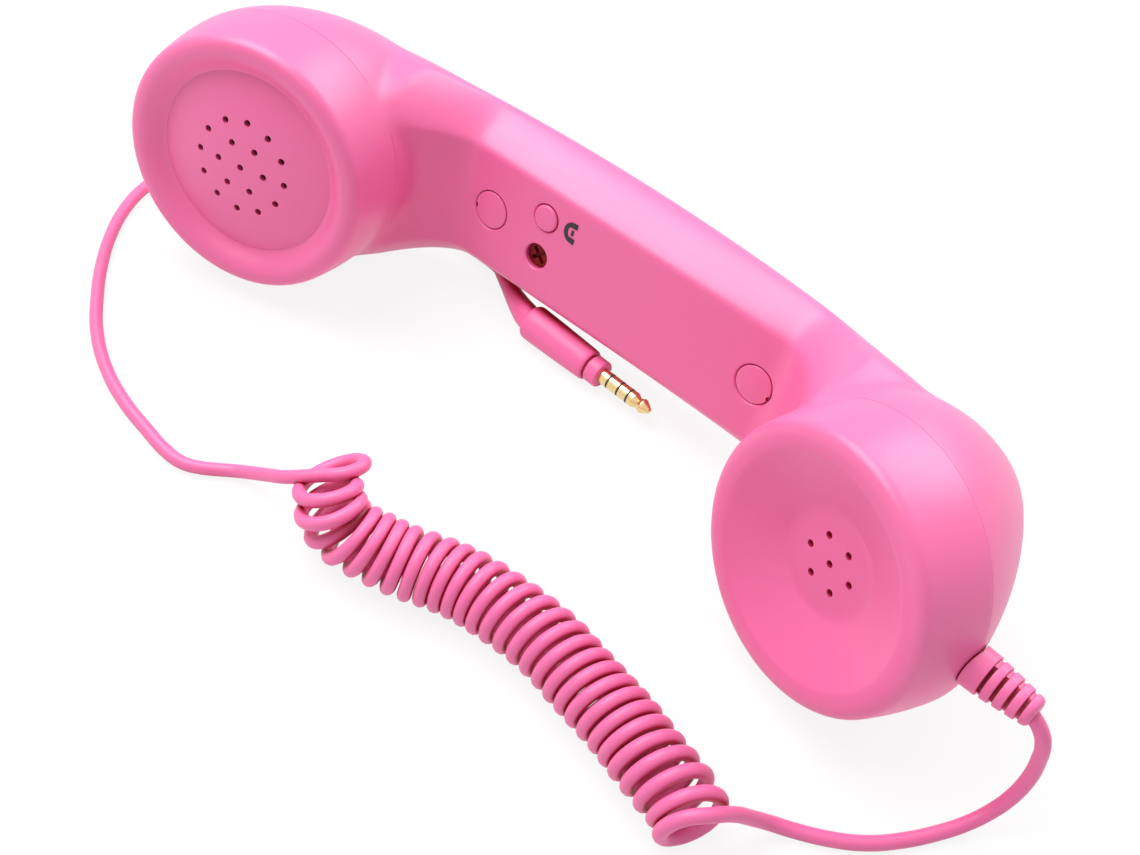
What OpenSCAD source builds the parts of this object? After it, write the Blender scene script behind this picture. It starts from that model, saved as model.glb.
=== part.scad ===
// Retro telephone handset for a mobile phone, with a curly cord and a four-pole 3.5 mm jack plug.
// The handset lies on its side, leaning back, with its long axis along X.
// Handset frame used by most modules: X along the handle (earpiece at -X, mouthpiece at +X),
// Y from the open faces (negative) to the back (positive), Z across the handset.

/* [Handset] */
// Half of the distance between the centres of the two lips
half_span = 73; // [72:0.5:75]
// Tilt of the earpiece towards the mouthpiece, in degrees
ear_tilt = 15; // [12:0.5:17]
// Tilt of the mouthpiece towards the earpiece, in degrees
mouth_tilt = 19; // [16:0.5:21]
// Wall thickness of both shells
wall = 2.2; // [1.8:0.1:2.6]
// Lean of the resting handset back from lying square on its side, in degrees
lean = 11; // [9:0.5:12]

/* [Cups] */
// Largest radius of the earpiece cup
ear_r = 29.2; // [28:0.1:30]
// Largest radius of the mouthpiece cup
mouth_r = 28.2; // [27.5:0.1:29.5]
// Depth from the lip to the widest ring of a cup, where the shells part
part_depth = 15; // [13:0.5:17]
// Height of a cup from its lip to the crown of its back
cup_depth = 47; // [45:0.5:49]
// How much narrower a lip is than the widest ring
lip_draft = 1.2; // [0.6:0.1:2]
// Radius of the rounded lip
lip_round = 2.4; // [2:0.1:2.8]

/* [Handle] */
// Distance from the line of the lips back to the flat inner face
face_y = 37.6; // [36:0.2:39]
// Thickness of the handle at the top of its arch
handle_thick = 17.4; // [16:0.2:20]
// Half of the handle's width
handle_half_w = 19.2; // [18:0.2:20]
// Half of the flat inner face's width
face_half_w = 12.6; // [11.5:0.1:14]
// Radius of the arch of the handle's back
arch_r = 255; // [220:5:320]
// Place of the top of the arch along the handle
arch_x = -8; // [-12:1:4]
// Distance along the handle from its middle to where its inner face starts to curve into the necks
neck_x = 39.5; // [36:0.5:42]

/* [Openings] */
// Radius of the domed earpiece grille
grille_r = 20; // [19.2:0.1:20.4]
// Depth of the grille's rim behind the lip
grille_depth = 3.1; // [2.7:0.1:3.5]
// Height of the grille's dome
dome_h = 2.7; // [1.5:0.1:2.9]
// Depth of the mouthpiece dish
dish_depth = 5.7; // [5.2:0.1:6]
// Radius of the flat floor of the dish
dish_floor_r = 9.7; // [9:0.1:10.4]
// Diameter of a sound hole
sound_hole_d = 1.5; // [1.2:0.1:1.8]
// Diameter of the call button
button_d = 6; // [5.4:0.1:6.6]
// Diameter of the hole over the volume trimmer
trimmer_hole_d = 5.8; // [5.4:0.1:6.2]
// Diameter of the caps over the case screws
cap_d = 8.6; // [8:0.1:9]

/* [Cord and plug] */
// Diameter of the cord
cord_d = 2.8; // [2.5:0.1:3]
// Outer diameter of the curly part of the cord
coil_d = 14.5; // [13.5:0.1:15]
// Diameter of the plug's grip at its shoulder
grip_d = 8.3; // [7.8:0.1:8.4]
// Diameter of the jack's shaft
shaft_d = 3.5; // [3.4:0.05:3.6]
// Length of the jack's shaft
shaft_len = 14; // [13.6:0.1:14.4]

/* [Hidden] */
$fn = 64;
EAR = -1;
MOUTH = 1;

// Outer form
crown_h = 3;                  // height of the rounded crown of a cup
ring_step = 0.03;             // tiny step behind a cup's widest ring
root_depth = 1;               // how far the back of a cup starts inside its front
neck_curve = 0.09;            // how fast the inner face falls away into a neck, per mm
neck_flare = 0.014;           // how fast the handle widens along a neck, per mm
neck_len = 17.5;              // length over which a neck curves before a cup hides it
handle_end = 80;              // where the handle ends, buried in the cups
back_square = 2.2;            // squareness of the handle's back: 2 is an ellipse
flank_square = 1.25;          // fullness of the flanks beside the inner face: 1 is straight
flank_share = 0.62;           // how far back along a section its widest line lies
seam_drop = 3.2;              // seam of the handle behind its inner face
seam_fall = 0.13;             // extra depth of the seam along a neck, per mm
seam_end = 13;                // length along a neck where the seam leaves for a cup's seam
seam_join = 57;               // distance from the middle at which it reaches the cup's seam
region = 140;                 // half length of the block that parts the shells

// Front of the cups
crest_in = 0.4;               // inner edge of a lip's crest, inside its rounding
grille_t = 1.2;               // thickness of the grille
grille_gap = 0.1;             // gap around the grille
ledge_t = 1.3;                // thickness of the ledge under the grille
ledge_w = 2.5;                // width of that ledge
ledge_back = 2.2;             // material outside the grille's pocket
ear_holes = [6, 12];          // holes in the two rings of the earpiece
ear_rings = [5.5, 10.3];      // radii of those rings
mouth_holes = 6;              // holes in the ring of the mouthpiece
mouth_ring = 5.4;             // radius of that ring

// Speaker, behind the grille; depths run from the lip along the cup's axis
ear_in = grille_depth + grille_t + ledge_t;
gasket_t = 0.8;
speaker_r = 20;
flange_t = 1.2;
speaker_front = ear_in + gasket_t;
basket_depth = 4.8;           // from the back of the flange to the back plate
basket_end = flange_t + basket_depth;
plate_t = 1.2;                // thickness of that plate
rim_w = 2.7;                  // width of the frame's front rim
surround_r = speaker_r - rim_w - 0.1;
voice_r = 5;                  // radius of the voice coil
magnet_r = 9.2;
magnet_t = 5;
retainer_t = 1.2;
retainer_w = 2;
collar_t = 1.4;               // thickness of the collars that hold speaker and microphone
speaker_collar_h = 4.6;

// Microphone and ballast, behind the dish
mouth_in = dish_depth + wall;
boot_r = 8.2;
boot_h = 5.9;
boot_front = 1.3;             // height of the air space in front of the capsule
capsule_r = 4.85;
capsule_t = 6.3;
mouth_collar_h = 3.6;
ballast_in_r = 12;
ballast_out_r = 18;
ballast_t = 3.5;
ballast_front = 10.4;         // depth of the ballast ring's front face
ballast_post_r = 2.2;
ballast_at_r = 15.5;          // radius on which its three posts stand

// Inside the handle; depths run from the line of the lips
cap_ear_x = -34.2;
cap_mouth_x = 37.3;
cap_t = 1.6;
head_room = 2.4;              // depth of the pocket for a screw head
boss_floor = 1.8;             // material under a screw head
boss_r = 5.5;
back_boss_r = 4;
screw_r = 1.3;
screw_head_r = 2.8;
screw_head_h = 1.9;
screw_len = 6;
inner_wall = face_y + wall;
boss_y = face_y + cap_t + head_room + boss_floor;
board_y = face_y + 6.4;       // front of the circuit board
board_t = 1.2;
board_x = [-27, 13];
board_half_w = 9.7;
board_posts = [-11, 8];       // places of the two posts under the board
post_r = 2.4;
small_screw_r = 0.9;
control_x = -20;              // place of button and trimmer along the handle
button_z = 6.2;
trimmer_z = -3.6;
button_proud = 0.4;
button_travel = 0.4;
button_flange = 0.9;          // width of the flange behind the wall
button_flange_t = 0.7;
switch_size = 6;
switch_h = 3;
plunger_r = 1.5;
trimmer_size = 6.8;
trimmer_h = 3.2;
rotor_r = 2.7;
rotor_recess = 1.2;           // rotor's face behind the handle's face
side_gap = 0.1;               // gap around a part that moves or drops in
mark_x = -13.4;
mark_z = 6.3;
mark_t = 0.15;

// Strain relief at the mouthpiece, measured from where the seam meets the cup's wall
relief_tilt = 5;              // turn of its axis from the handle's towards the lips
relief_seat_x = half_span + part_depth * sin(mouth_tilt) + mouth_r * cos(mouth_tilt);
relief_y = part_depth * cos(mouth_tilt) - mouth_r * sin(mouth_tilt) + 0.6;
relief_flange_r = 5;
relief_flange_t = 1.8;
relief_neck_r = 3.4;
relief_clear = 0.3;           // gap between its flange and the inside of the wall
relief_in = wall / cos(mouth_tilt - relief_tilt)
            + relief_flange_r * tan(mouth_tilt - relief_tilt) + relief_clear + relief_flange_t;
relief_collars = 5;
relief_first = 2.9;           // length of the first collar
relief_pitch = 2.4;           // spacing of the others
relief_slot = 0.7;            // groove between two collars
relief_len = relief_first + (relief_collars - 1) * relief_pitch;
relief_r = [4, 3];            // radius of the first and the last collar
relief_core = [2.4, 2.1];     // radius between them

function relief_at(s) =
    [relief_seat_x + s * cos(relief_tilt), relief_y - s * sin(relief_tilt), 0];

// Wires inside, in the handset frame
wire_r = 0.8;
speaker_wire_route = [[-25, 46.1, -7], [-31, 46, -10], [-38, 44.6, -10.3],
                      [27 - half_span, 41, -9], [19 - half_span, 33, -6],
                      [13 - half_span, 23, -2], [10.8 - half_span, 14.9, 0]];
mic_wire_route = [[11.5, 46.1, -6], [18, 46.2, -9], [28, 46, -10.5], [38, 45, -10.5],
                  [half_span - 23, 41, -8], [half_span - 11, 34, -4], [half_span, 24, -1],
                  [half_span + 5.2, 15.5, 0]];
tail_route = [relief_at(-relief_in - 0.2), relief_at(-relief_in - 1),
              relief_at(-relief_in - 2) + [0, 0.8, 0], [half_span + 22.6, 9.8, 0],
              [half_span + 17, 15, 0.5], [half_span + 8, 24, 2], [half_span - 6, 34, 5],
              [half_span - 19, 40.3, 8.5], [44, 43.6, 10.5], [35, 45.2, 10.8], [26, 46.2, 9.8],
              [16, 46.6, 8], [9.5, 46.7, 6.5]];

// Cord on the table, in the frame of the whole object
cord_r = cord_d / 2;
plug_at = [-24.1, 12];        // the grip's shoulder
plug_turn = -3.5;             // direction of the plug, in degrees from X
plug_neck_route = [[-23.8, 12, 4.1], [-26.5, 13, 3.8], [-31.2, 15.6, 2.8], [-36.5, 18.7, 2],
                   [-41.5, 21.5, 1.6]];
plug_neck_r = [3, 2.9, 2.4, 1.9, 1.55];
plug_lead_route = [[-41.5, 21.5], [-49.2, 22.5], [-58.2, 23.5], [-72.2, 24], [-86.2, 22.5],
                   [-99.2, 18.5], [-110.2, 10.5], [-117.2, 0.5], [-119.2, -10], [-118.2, -19.5],
                   [-115.2, -27.5], [-109.7, -36], [-103.2, -43.5], [-95.7, -50.5], [-86.7, -57.5], [-76.2, -63],
                   [-66.7, -66], [-58.2, -67.5], [-50.2, -68.5], [-44.7, -68], [-40.7, -66],
                   [-37.2, -62], [-32.7, -58.5], [-28.2, -55.3], [-24.7, -53.2], [-20.2, -51.3]];
coil_route = [[-19.2, -53.5], [-12.7, -58], [-5.7, -61], [2.3, -59.7], [10.8, -56.2], [20.3, -53],
              [29.8, -51.8], [39.8, -52.3], [50.8, -54.5], [61.3, -56.7], [69.8, -59], [77.3, -62]];
mouth_lead_route = [[114.2, -18.2, 25.5], [115.2, -17.8, 20], [115.7, -18.2, 14],
                    [115.1, -19.8, 8.5], [113.7, -22, 4.5], [111.6, -25.4, 2.1],
                    [108.8, -30, 1.6], [104.8, -35.8, 1.45], [100.4, -40.7, 0], [95, -44.8, 0],
                    [89.3, -47.8, 0], [84, -50.3, 0], [80.7, -54.3, 0], [79.1, -58.3, 0],
                    [78, -61.2, 1.5]];

// Plug, along its own axis from the grip's shoulder
grip_len = 18.5;
grip_end_r = 3.4;
collar_r = 3.15;
collar_len = 3.2;
collar_neck = 0.5;
jack_z = grip_len + collar_neck + collar_len;
insulator_t = 0.5;
contact_z = [2.2, 5.2, 7.9];  // where the three insulators start along the shaft
tip_waist_z = 10.6;

// ---- outer form -------------------------------------------------------------------------

function cup_r(side) = side == EAR ? ear_r : mouth_r;
function cup_tilt(side) = side == EAR ? ear_tilt : mouth_tilt;
function back_curve(side) = side == EAR ? 0.0134 : 0.0148;
function back_lean(side) = side == EAR ? 0.145 : 0.38;
function back_curl(side) = side == EAR ? 0.0068 : -0.0066;

// Puts children into a cup's own frame: origin at the centre of its lip, Z into the cup
module at_cup(side)
    translate([side * half_span, 0, 0])
        rotate([0, 0, -side * cup_tilt(side)])
            rotate([-90, 0, 0]) children();

// Radius of a cup's outside at a depth behind the lip's rounding, moved in by inset
function cup_wall_r(side, d, inset) =
    cup_r(side) - inset
    - (d < part_depth ? lip_draft * pow((part_depth - d) / (part_depth - lip_round), 2)
                      : back_curve(side) * pow(d - part_depth, 2));

// Half section of a cup's front: rounded lip and drafted wall, closed at the parting plane
function front_profile(side, inset) =
    let (lip_r = cup_wall_r(side, lip_round, inset) - lip_round)
    concat(
        [[0, inset]],
        [for (a = [0:18:90]) [lip_r + lip_round * sin(a), inset + lip_round * (1 - cos(a))]],
        [for (i = [1:5]) let (d = lip_round + i / 5 * (part_depth - lip_round))
            [cup_wall_r(side, d, inset), max(d, inset + lip_round)]],
        [[0, part_depth]]);

// One ring of a cup's back, h behind its widest ring; the rings drift towards the handle
function back_ring(side, h, r) =
    let (drift = back_lean(side) * h + back_curl(side) * h * h, n = 48)
    [for (j = [0:n - 1]) [r * cos(j * 360 / n) - side * drift,
                          -r * sin(j * 360 / n),
                          part_depth + h]];

// Rings of a cup's back: one inside its front, then the barrel wall, then over the crown
function back_rings(side, inset) =
    let (rise = cup_depth - part_depth - crown_h,
         shoulder_r = cup_wall_r(side, part_depth + rise, inset))
    concat(
        [back_ring(side, -root_depth, cup_r(side) - inset - root_depth)],
        [for (i = [0:7]) let (h = i / 7 * rise)
            back_ring(side, h, cup_wall_r(side, part_depth + h, inset) - ring_step)],
        [for (a = [22.5:22.5:67.5])
            back_ring(side, rise + (crown_h - inset) * sin(a), (shoulder_r - ring_step) * cos(a))],
        [back_ring(side, rise + crown_h - inset, 0.5)]);

module cup(side, inset = 0) {
    at_cup(side) rotate_extrude($fn = 96) polygon(front_profile(side, inset));
    at_cup(side) skin(back_rings(side, inset));
}

// Outline of the handle along its length
function past_neck(x) = min(neck_len, max(0, abs(x) - neck_x));
function inner_y(x) = face_y - neck_curve * pow(past_neck(x), 2);
function back_y(x) =
    face_y + handle_thick - arch_r + sqrt(pow(arch_r, 2) - pow(x - arch_x, 2));
function wide_y(x) = inner_y(x) + flank_share * (back_y(x) - inner_y(x));
function half_w(x) = handle_half_w + neck_flare * pow(past_neck(x), 2);

// One closed section of the handle at x: flat face, round shoulders and a full, rounded back
function handle_section(x, inset) =
    let (y0 = inner_y(x) + inset,
         y2 = back_y(x) - inset,
         y1 = wide_y(x),
         w = half_w(x) - inset,
         f = face_half_w + half_w(x) - handle_half_w - inset / 2,
         half = concat(
            [for (a = [0:15:90]) [y1 - (y1 - y0) * pow(cos(a), 2 / flank_square),
                                  f + (w - f) * pow(sin(a), 2 / flank_square)]],
            [for (a = [15:15:75]) [y1 + (y2 - y1) * pow(sin(a), 2 / back_square),
                                   w * pow(cos(a), 2 / back_square)]]))
    concat([for (p = half) [x, p[0], p[1]]],
           [[x, y2, 0]],
           [for (i = [len(half) - 1:-1:0]) [x, half[i][0], -half[i][1]]]);

HALF_XS = concat([0, 11, 22, 32],
                 [for (i = [0:7]) neck_x + i / 7 * neck_len],
                 [66, handle_end]);
HANDLE_XS = concat([for (i = [len(HALF_XS) - 1:-1:1]) -HALF_XS[i]], HALF_XS);

// Skins a row of closed sections of equal length
module skin(sections) {
    n = len(sections[0]);
    rows = len(sections);
    polyhedron(
        points = [for (s = sections) for (p = s) p],
        faces = concat(
            [[for (j = [n - 1:-1:0]) j]],
            [for (i = [0:rows - 2]) for (j = [0:n - 1])
                let (a = i * n + j, b = i * n + (j + 1) % n) [a, b, a + n]],
            [for (i = [0:rows - 2]) for (j = [0:n - 1])
                let (a = i * n + j, b = i * n + (j + 1) % n) [b, b + n, a + n]],
            [[for (j = [0:n - 1]) (rows - 1) * n + j]]));
}

module handle(inset = 0)
    skin([for (x = HANDLE_XS) handle_section(x, inset)]);

module body_form(inset = 0) {
    cup(EAR, inset);
    cup(MOUTH, inset);
    handle(inset);
}

// Seam between the shells, seen from the side
function cup_seam_y(side, x) =
    part_depth * cos(cup_tilt(side))
    - (abs(x) - half_span - part_depth * sin(cup_tilt(side))) * tan(cup_tilt(side));
function handle_seam_y(x) = inner_y(x) + seam_drop + seam_fall * past_neck(x);

// Everything in front of the seam
module front_region() {
    xs = [for (i = [0:5]) neck_x + i / 5 * seam_end];
    linear_extrude(height = 100, center = true)
        polygon(concat(
            [[-region, -60], [-region, cup_seam_y(EAR, -region)],
             [-seam_join, cup_seam_y(EAR, -seam_join)]],
            [for (i = [5:-1:0]) [-xs[i], handle_seam_y(-xs[i])]],
            [for (i = [0:5]) [xs[i], handle_seam_y(xs[i])]],
            [[seam_join, cup_seam_y(MOUTH, seam_join)],
             [region, cup_seam_y(MOUTH, region)], [region, -60]]));
}

// Half section of the space inside a cup's front, behind its face
function cavity_profile(side) =
    let (d_in = side == EAR ? ear_in : mouth_in,
         flat_r = side == EAR ? grille_r + ledge_back : dish_floor_r + 0.6,
         lip_d = wall + (side == EAR ? 0.2 : 0.7),
         lip_r = cup_wall_r(side, lip_d, wall) - 1)
    concat(
        [[0, d_in], [flat_r, d_in], [lip_r, lip_d]],
        [for (i = [0:4]) let (d = lip_d + 1 + i / 4 * (part_depth - lip_d - 1))
            [cup_wall_r(side, d, wall), d]],
        [[0, part_depth]]);

module cup_cavity(side) {
    at_cup(side) rotate_extrude($fn = 96) polygon(cavity_profile(side));
    at_cup(side) skin(back_rings(side, wall));
}

module cavity_form() {
    cup_cavity(EAR);
    cup_cavity(MOUTH);
    handle(wall);
}

module shell_form() {
    difference() {
        body_form();
        cavity_form();
    }
}

// Puts children on the handle's axis lines, with Z running from the lips to the back
module at_face(x, z) translate([x, 0, z]) rotate([-90, 0, 0]) children();

// A disc or tube along a cup's axis between two depths
module ring_between(side, z0, z1, r, hole_r = 0)
    at_cup(side) translate([0, 0, z0]) difference() {
        cylinder(h = z1 - z0, r = r);
        if (hole_r > 0) translate([0, 0, -1]) cylinder(h = z1 - z0 + 2, r = hole_r);
    }

// ---- shells -----------------------------------------------------------------------------

// Recess of the earpiece: a soft step from the lip down to the grille's rim
module ear_recess() {
    r0 = grille_r + grille_gap;
    r1 = cup_wall_r(EAR, lip_round, 0) - lip_round - crest_in;
    at_cup(EAR) {
        rotate_extrude($fn = 96)
            polygon(concat(
                [[0, -1], [r1, -1]],
                [for (t = [1:-0.125:0]) [r0 + t * (r1 - r0), grille_depth * (1 + cos(180 * t)) / 2]],
                [[0, grille_depth]]));
        translate([0, 0, grille_depth - 0.5]) cylinder(h = 0.5 + grille_t, r = r0);
        translate([0, 0, grille_depth]) cylinder(h = grille_t + ledge_t + 1, r = grille_r - ledge_w);
    }
}

// Dish of the mouthpiece: a rounded lip, a straight cone and a soft corner to the floor
module mouth_dish() {
    r1 = cup_wall_r(MOUTH, lip_round, 0) - lip_round - crest_in;
    at_cup(MOUTH) {
        rotate_extrude($fn = 96)
            polygon([[0, -1], [r1, -1], [r1, 0], [r1 - 0.6, 0.12], [r1 - 1.3, 0.5],
                     [dish_floor_r + 1.4, dish_depth - 0.45], [dish_floor_r, dish_depth - 0.1],
                     [dish_floor_r - 1.2, dish_depth], [0, dish_depth]]);
        sound_holes(mouth_holes, mouth_ring, dish_depth - 1, wall + 2);
        sound_hole(0, 0, dish_depth - 1, wall + 2);
    }
}

module sound_hole(r, a, z, h)
    rotate([0, 0, a]) translate([r, 0, z]) cylinder(h = h, d = sound_hole_d, $fn = 24);

module sound_holes(n, r, z, h)
    for (k = [0:n - 1]) sound_hole(r, k * 360 / n, z, h);

module at_relief() translate(relief_at(0)) rotate([0, 0, -relief_tilt]) rotate([0, 90, 0]) children();

module relief_hole()
    at_relief() translate([0, 0, -relief_in])
        cylinder(h = relief_in + relief_first, r = relief_neck_r);

module cap_well(x)
    at_face(x, 0) {
        translate([0, 0, face_y - 1]) cylinder(h = cap_t + 1, d = cap_d + side_gap);
        translate([0, 0, face_y]) cylinder(h = cap_t + head_room, r = screw_head_r + 0.4);
        translate([0, 0, face_y]) cylinder(h = boss_y - face_y + 1, r = screw_r + 0.2);
    }

module front_shell() {
    difference() {
        union() {
            intersection() {
                shell_form();
                front_region();
            }
            for (x = [cap_ear_x, cap_mouth_x])
                at_face(x, 0) translate([0, 0, inner_wall - 0.6])
                    cylinder(h = boss_y - inner_wall + 0.6, r = boss_r);
            for (x = board_posts)
                at_face(x, 0) translate([0, 0, inner_wall - 0.6])
                    cylinder(h = board_y - inner_wall + 0.6, r = post_r);
            ring_between(EAR, ear_in - 0.4, ear_in + speaker_collar_h,
                         speaker_r + collar_t, speaker_r);
            ring_between(MOUTH, mouth_in - 0.4, mouth_in + mouth_collar_h,
                         boot_r + collar_t, boot_r);
            for (a = [90, 210, 330])
                at_cup(MOUTH) rotate([0, 0, a]) translate([ballast_at_r, 0, dish_depth - 1.4])
                    cylinder(h = ballast_front - dish_depth + 1.4, r = ballast_post_r);
        }
        ear_recess();
        mouth_dish();
        relief_hole();
        cap_well(cap_ear_x);
        cap_well(cap_mouth_x);
        at_face(control_x, button_z) translate([0, 0, face_y - 1])
            cylinder(h = wall + 2, d = button_d + 2 * side_gap);
        at_face(control_x, trimmer_z) translate([0, 0, face_y - 1])
            cylinder(h = wall + 2, d = trimmer_hole_d);
        for (x = board_posts)
            at_face(x, 0) translate([0, 0, inner_wall + 1]) cylinder(h = 10, r = small_screw_r);
    }
}

module back_shell() {
    difference() {
        union() {
            difference() {
                shell_form();
                front_region();
            }
            for (x = [cap_ear_x, cap_mouth_x])
                at_face(x, 0) translate([0, 0, boss_y])
                    cylinder(h = back_y(x) - wall / 2 - boss_y, r = back_boss_r);
        }
        relief_hole();
        for (x = [cap_ear_x, cap_mouth_x])
            at_face(x, 0) translate([0, 0, boss_y - 1]) cylinder(h = 6, r = screw_r);
    }
}

// ---- earpiece ---------------------------------------------------------------------------

function dome_z(r) = grille_depth - dome_h * (1 - pow(r / grille_r, 2));

module ear_grille()
    at_cup(EAR) difference() {
        rotate_extrude($fn = 96)
            polygon(concat(
                [for (i = [0:10]) let (r = i / 10 * grille_r) [r, dome_z(r)]],
                [[grille_r, grille_depth + grille_t], [grille_r - ledge_w, grille_depth + grille_t]],
                [for (i = [8:-1:0]) let (r = i / 8 * (grille_r - ledge_w - 0.6))
                    [r, dome_z(r) + grille_t]]));
        for (i = [0, 1]) sound_holes(ear_holes[i], ear_rings[i], -2, 8);
        sound_hole(0, 0, -2, 8);
    }

module ear_gasket()
    ring_between(EAR, ear_in, speaker_front, speaker_r - side_gap, grille_r - ledge_w);

module speaker_frame()
    at_cup(EAR) translate([0, 0, speaker_front]) rotate_extrude()
        polygon([[speaker_r - rim_w, 0], [speaker_r, 0], [speaker_r, flange_t],
                 [speaker_r - rim_w + 0.5, flange_t], [magnet_r + 2.8, basket_end],
                 [magnet_r, basket_end], [magnet_r, basket_end - plate_t],
                 [magnet_r + 2.2, basket_end - plate_t], [surround_r - 1, flange_t - 0.2],
                 [surround_r - 1, 0.6], [speaker_r - rim_w, 0.6]]);

module speaker_cone()
    at_cup(EAR) translate([0, 0, speaker_front]) rotate_extrude()
        polygon([[surround_r, 0.1], [surround_r, 0.55], [surround_r - 1.2, 0.35], [voice_r, 3.5],
                 [voice_r, basket_end - plate_t], [voice_r - 0.4, basket_end - plate_t],
                 [voice_r - 0.4, 3.2], [3, 2.5], [0, 2.2], [0, 1.8], [3.2, 2.1], [voice_r, 3],
                 [surround_r - 1.3, -0.1], [surround_r - 0.6, -0.2]]);

module speaker_magnet()
    ring_between(EAR, speaker_front + basket_end - plate_t,
                 speaker_front + basket_end - plate_t + magnet_t, magnet_r);

module speaker_retainer()
    ring_between(EAR, speaker_front + flange_t, speaker_front + flange_t + retainer_t,
                 speaker_r, speaker_r - retainer_w);

// ---- mouthpiece -------------------------------------------------------------------------

module microphone_boot()
    at_cup(MOUTH) translate([0, 0, mouth_in]) rotate_extrude()
        polygon([[6.7, 0], [boot_r, 0], [boot_r, boot_h], [capsule_r, boot_h],
                 [capsule_r, boot_front + 0.6], [4, boot_front + 0.6], [4, boot_front],
                 [6.7, boot_front]]);

module microphone_capsule()
    ring_between(MOUTH, mouth_in + boot_front + 0.6, mouth_in + boot_front + 0.6 + capsule_t,
                 capsule_r);

module ballast_ring()
    ring_between(MOUTH, ballast_front, ballast_front + ballast_t, ballast_out_r, ballast_in_r);

// ---- inside the handle ------------------------------------------------------------------

module circuit_board()
    difference() {
        translate([board_x[0], board_y, -board_half_w])
            cube([board_x[1] - board_x[0], board_t, 2 * board_half_w]);
        for (x = board_posts)
            at_face(x, 0) translate([0, 0, board_y - 1]) cylinder(h = 4, r = small_screw_r + 0.1);
    }

module board_chip()
    translate([-6, board_y + board_t, -7.5]) cube([6, 1.2, 5]);

// Pan head screw with a cross recess, pointing to the back; the head's face is at y
module screw(x, y, shaft_r, head_r, head_h, length, from_back = false)
    at_face(x, 0) translate([0, 0, y]) mirror([0, 0, from_back ? 1 : 0]) difference() {
        union() {
            cylinder(h = head_h, r = head_r);
            cylinder(h = head_h + length, r = shaft_r);
        }
        for (a = [0, 90])
            rotate([0, 0, a]) translate([0, 0, head_h / 4 - 0.01])
                cube([head_r * 1.2, head_r / 4, head_h / 2], center = true);
    }

module case_screw(x)
    screw(x, face_y + cap_t + head_room - screw_head_h, screw_r, screw_head_r, screw_head_h,
          screw_len);

module board_screw(x)
    screw(x, board_y + board_t + 1.1, small_screw_r, 1.8, 1.1, 3.6, from_back = true);

// Cap over a case screw, with a small notch to prise it out
module screw_cap(x)
    at_face(x, 0) translate([0, 0, face_y]) difference() {
        cylinder(h = cap_t, d = cap_d);
        translate([cap_d / 2, 0, 0]) cylinder(h = 2 * 0.7, r = 0.7, center = true, $fn = 24);
    }

module tact_switch()
    at_face(control_x, button_z) difference() {
        translate([0, 0, board_y - switch_h / 2])
            cube([switch_size, switch_size, switch_h], center = true);
        translate([0, 0, board_y - switch_h - 1]) cylinder(h = 2.4, r = plunger_r + side_gap);
    }

module switch_plunger()
    at_face(control_x, button_z) translate([0, 0, inner_wall + button_flange_t])
        cylinder(h = board_y - switch_h + 0.8 - inner_wall - button_flange_t, r = plunger_r);

module call_button()
    at_face(control_x, button_z) {
        rotate_extrude()
            polygon([[0, face_y - button_proud], [button_d / 2 - 0.5, face_y - button_proud],
                     [button_d / 2 - 0.15, face_y - button_proud + 0.15],
                     [button_d / 2, face_y - button_proud + 0.5],
                     [button_d / 2, inner_wall], [button_d / 2 + button_flange, inner_wall],
                     [button_d / 2 + button_flange, inner_wall + button_flange_t],
                     [0, inner_wall + button_flange_t]]);
    }

module trimmer_body()
    at_face(control_x, trimmer_z) difference() {
        translate([0, 0, board_y - trimmer_h / 2])
            cube([trimmer_size, trimmer_size, trimmer_h], center = true);
        translate([0, 0, board_y - trimmer_h - 1]) cylinder(h = 3, r = rotor_r + side_gap);
    }

// Rotor of the trimmer, with a cross slot for a screwdriver
module trimmer_rotor()
    at_face(control_x, trimmer_z) difference() {
        translate([0, 0, face_y + rotor_recess])
            cylinder(h = board_y - trimmer_h + 2 - face_y - rotor_recess, r = rotor_r);
        for (a = [45, 135])
            rotate([0, 0, a]) translate([0, 0, face_y + rotor_recess])
                cube([4.2, 0.9, 2], center = true);
    }

// Printed sign beside the button: a small handset standing on end
module call_mark()
    at_face(mark_x, mark_z) translate([0, 0, face_y - mark_t]) difference() {
        union() {
            difference() {
                cylinder(h = mark_t, r = 2.3);
                translate([0, 0, -1]) cylinder(h = 2, r = 1.5);
                translate([-5, -5, -1]) cube([5.6, 10, 2]);
            }
            for (k = [-1, 1])
                translate([0.4, k * 1.75, mark_t / 2]) cube([1.5, 1.2, mark_t], center = true);
        }
    }

module tube(route, r, n = 8, per = 3) skin(tube_rings(smooth(route, per), [r, r], n));

module speaker_wires() tube(speaker_wire_route, wire_r);
module microphone_wires() tube(mic_wire_route, wire_r);
module cord_tail() tube(tail_route, cord_r, per = 2);

// ---- cord and plug ----------------------------------------------------------------------

// Smooth curve through the points of a route, per points on each stretch
function smooth(p, per) = concat(
    [for (i = [0:len(p) - 2]) for (k = [0:per - 1])
        let (t = k / per,
             a = p[max(0, i - 1)],
             b = p[i],
             c = p[i + 1],
             d = p[min(len(p) - 1, i + 2)])
        0.5 * (2 * b + (c - a) * t + (2 * a - 5 * b + 4 * c - d) * t * t
               + (3 * b - a - 3 * c + d) * t * t * t)],
    [p[len(p) - 1]]);

function unit(v) = v / norm(v);

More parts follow.
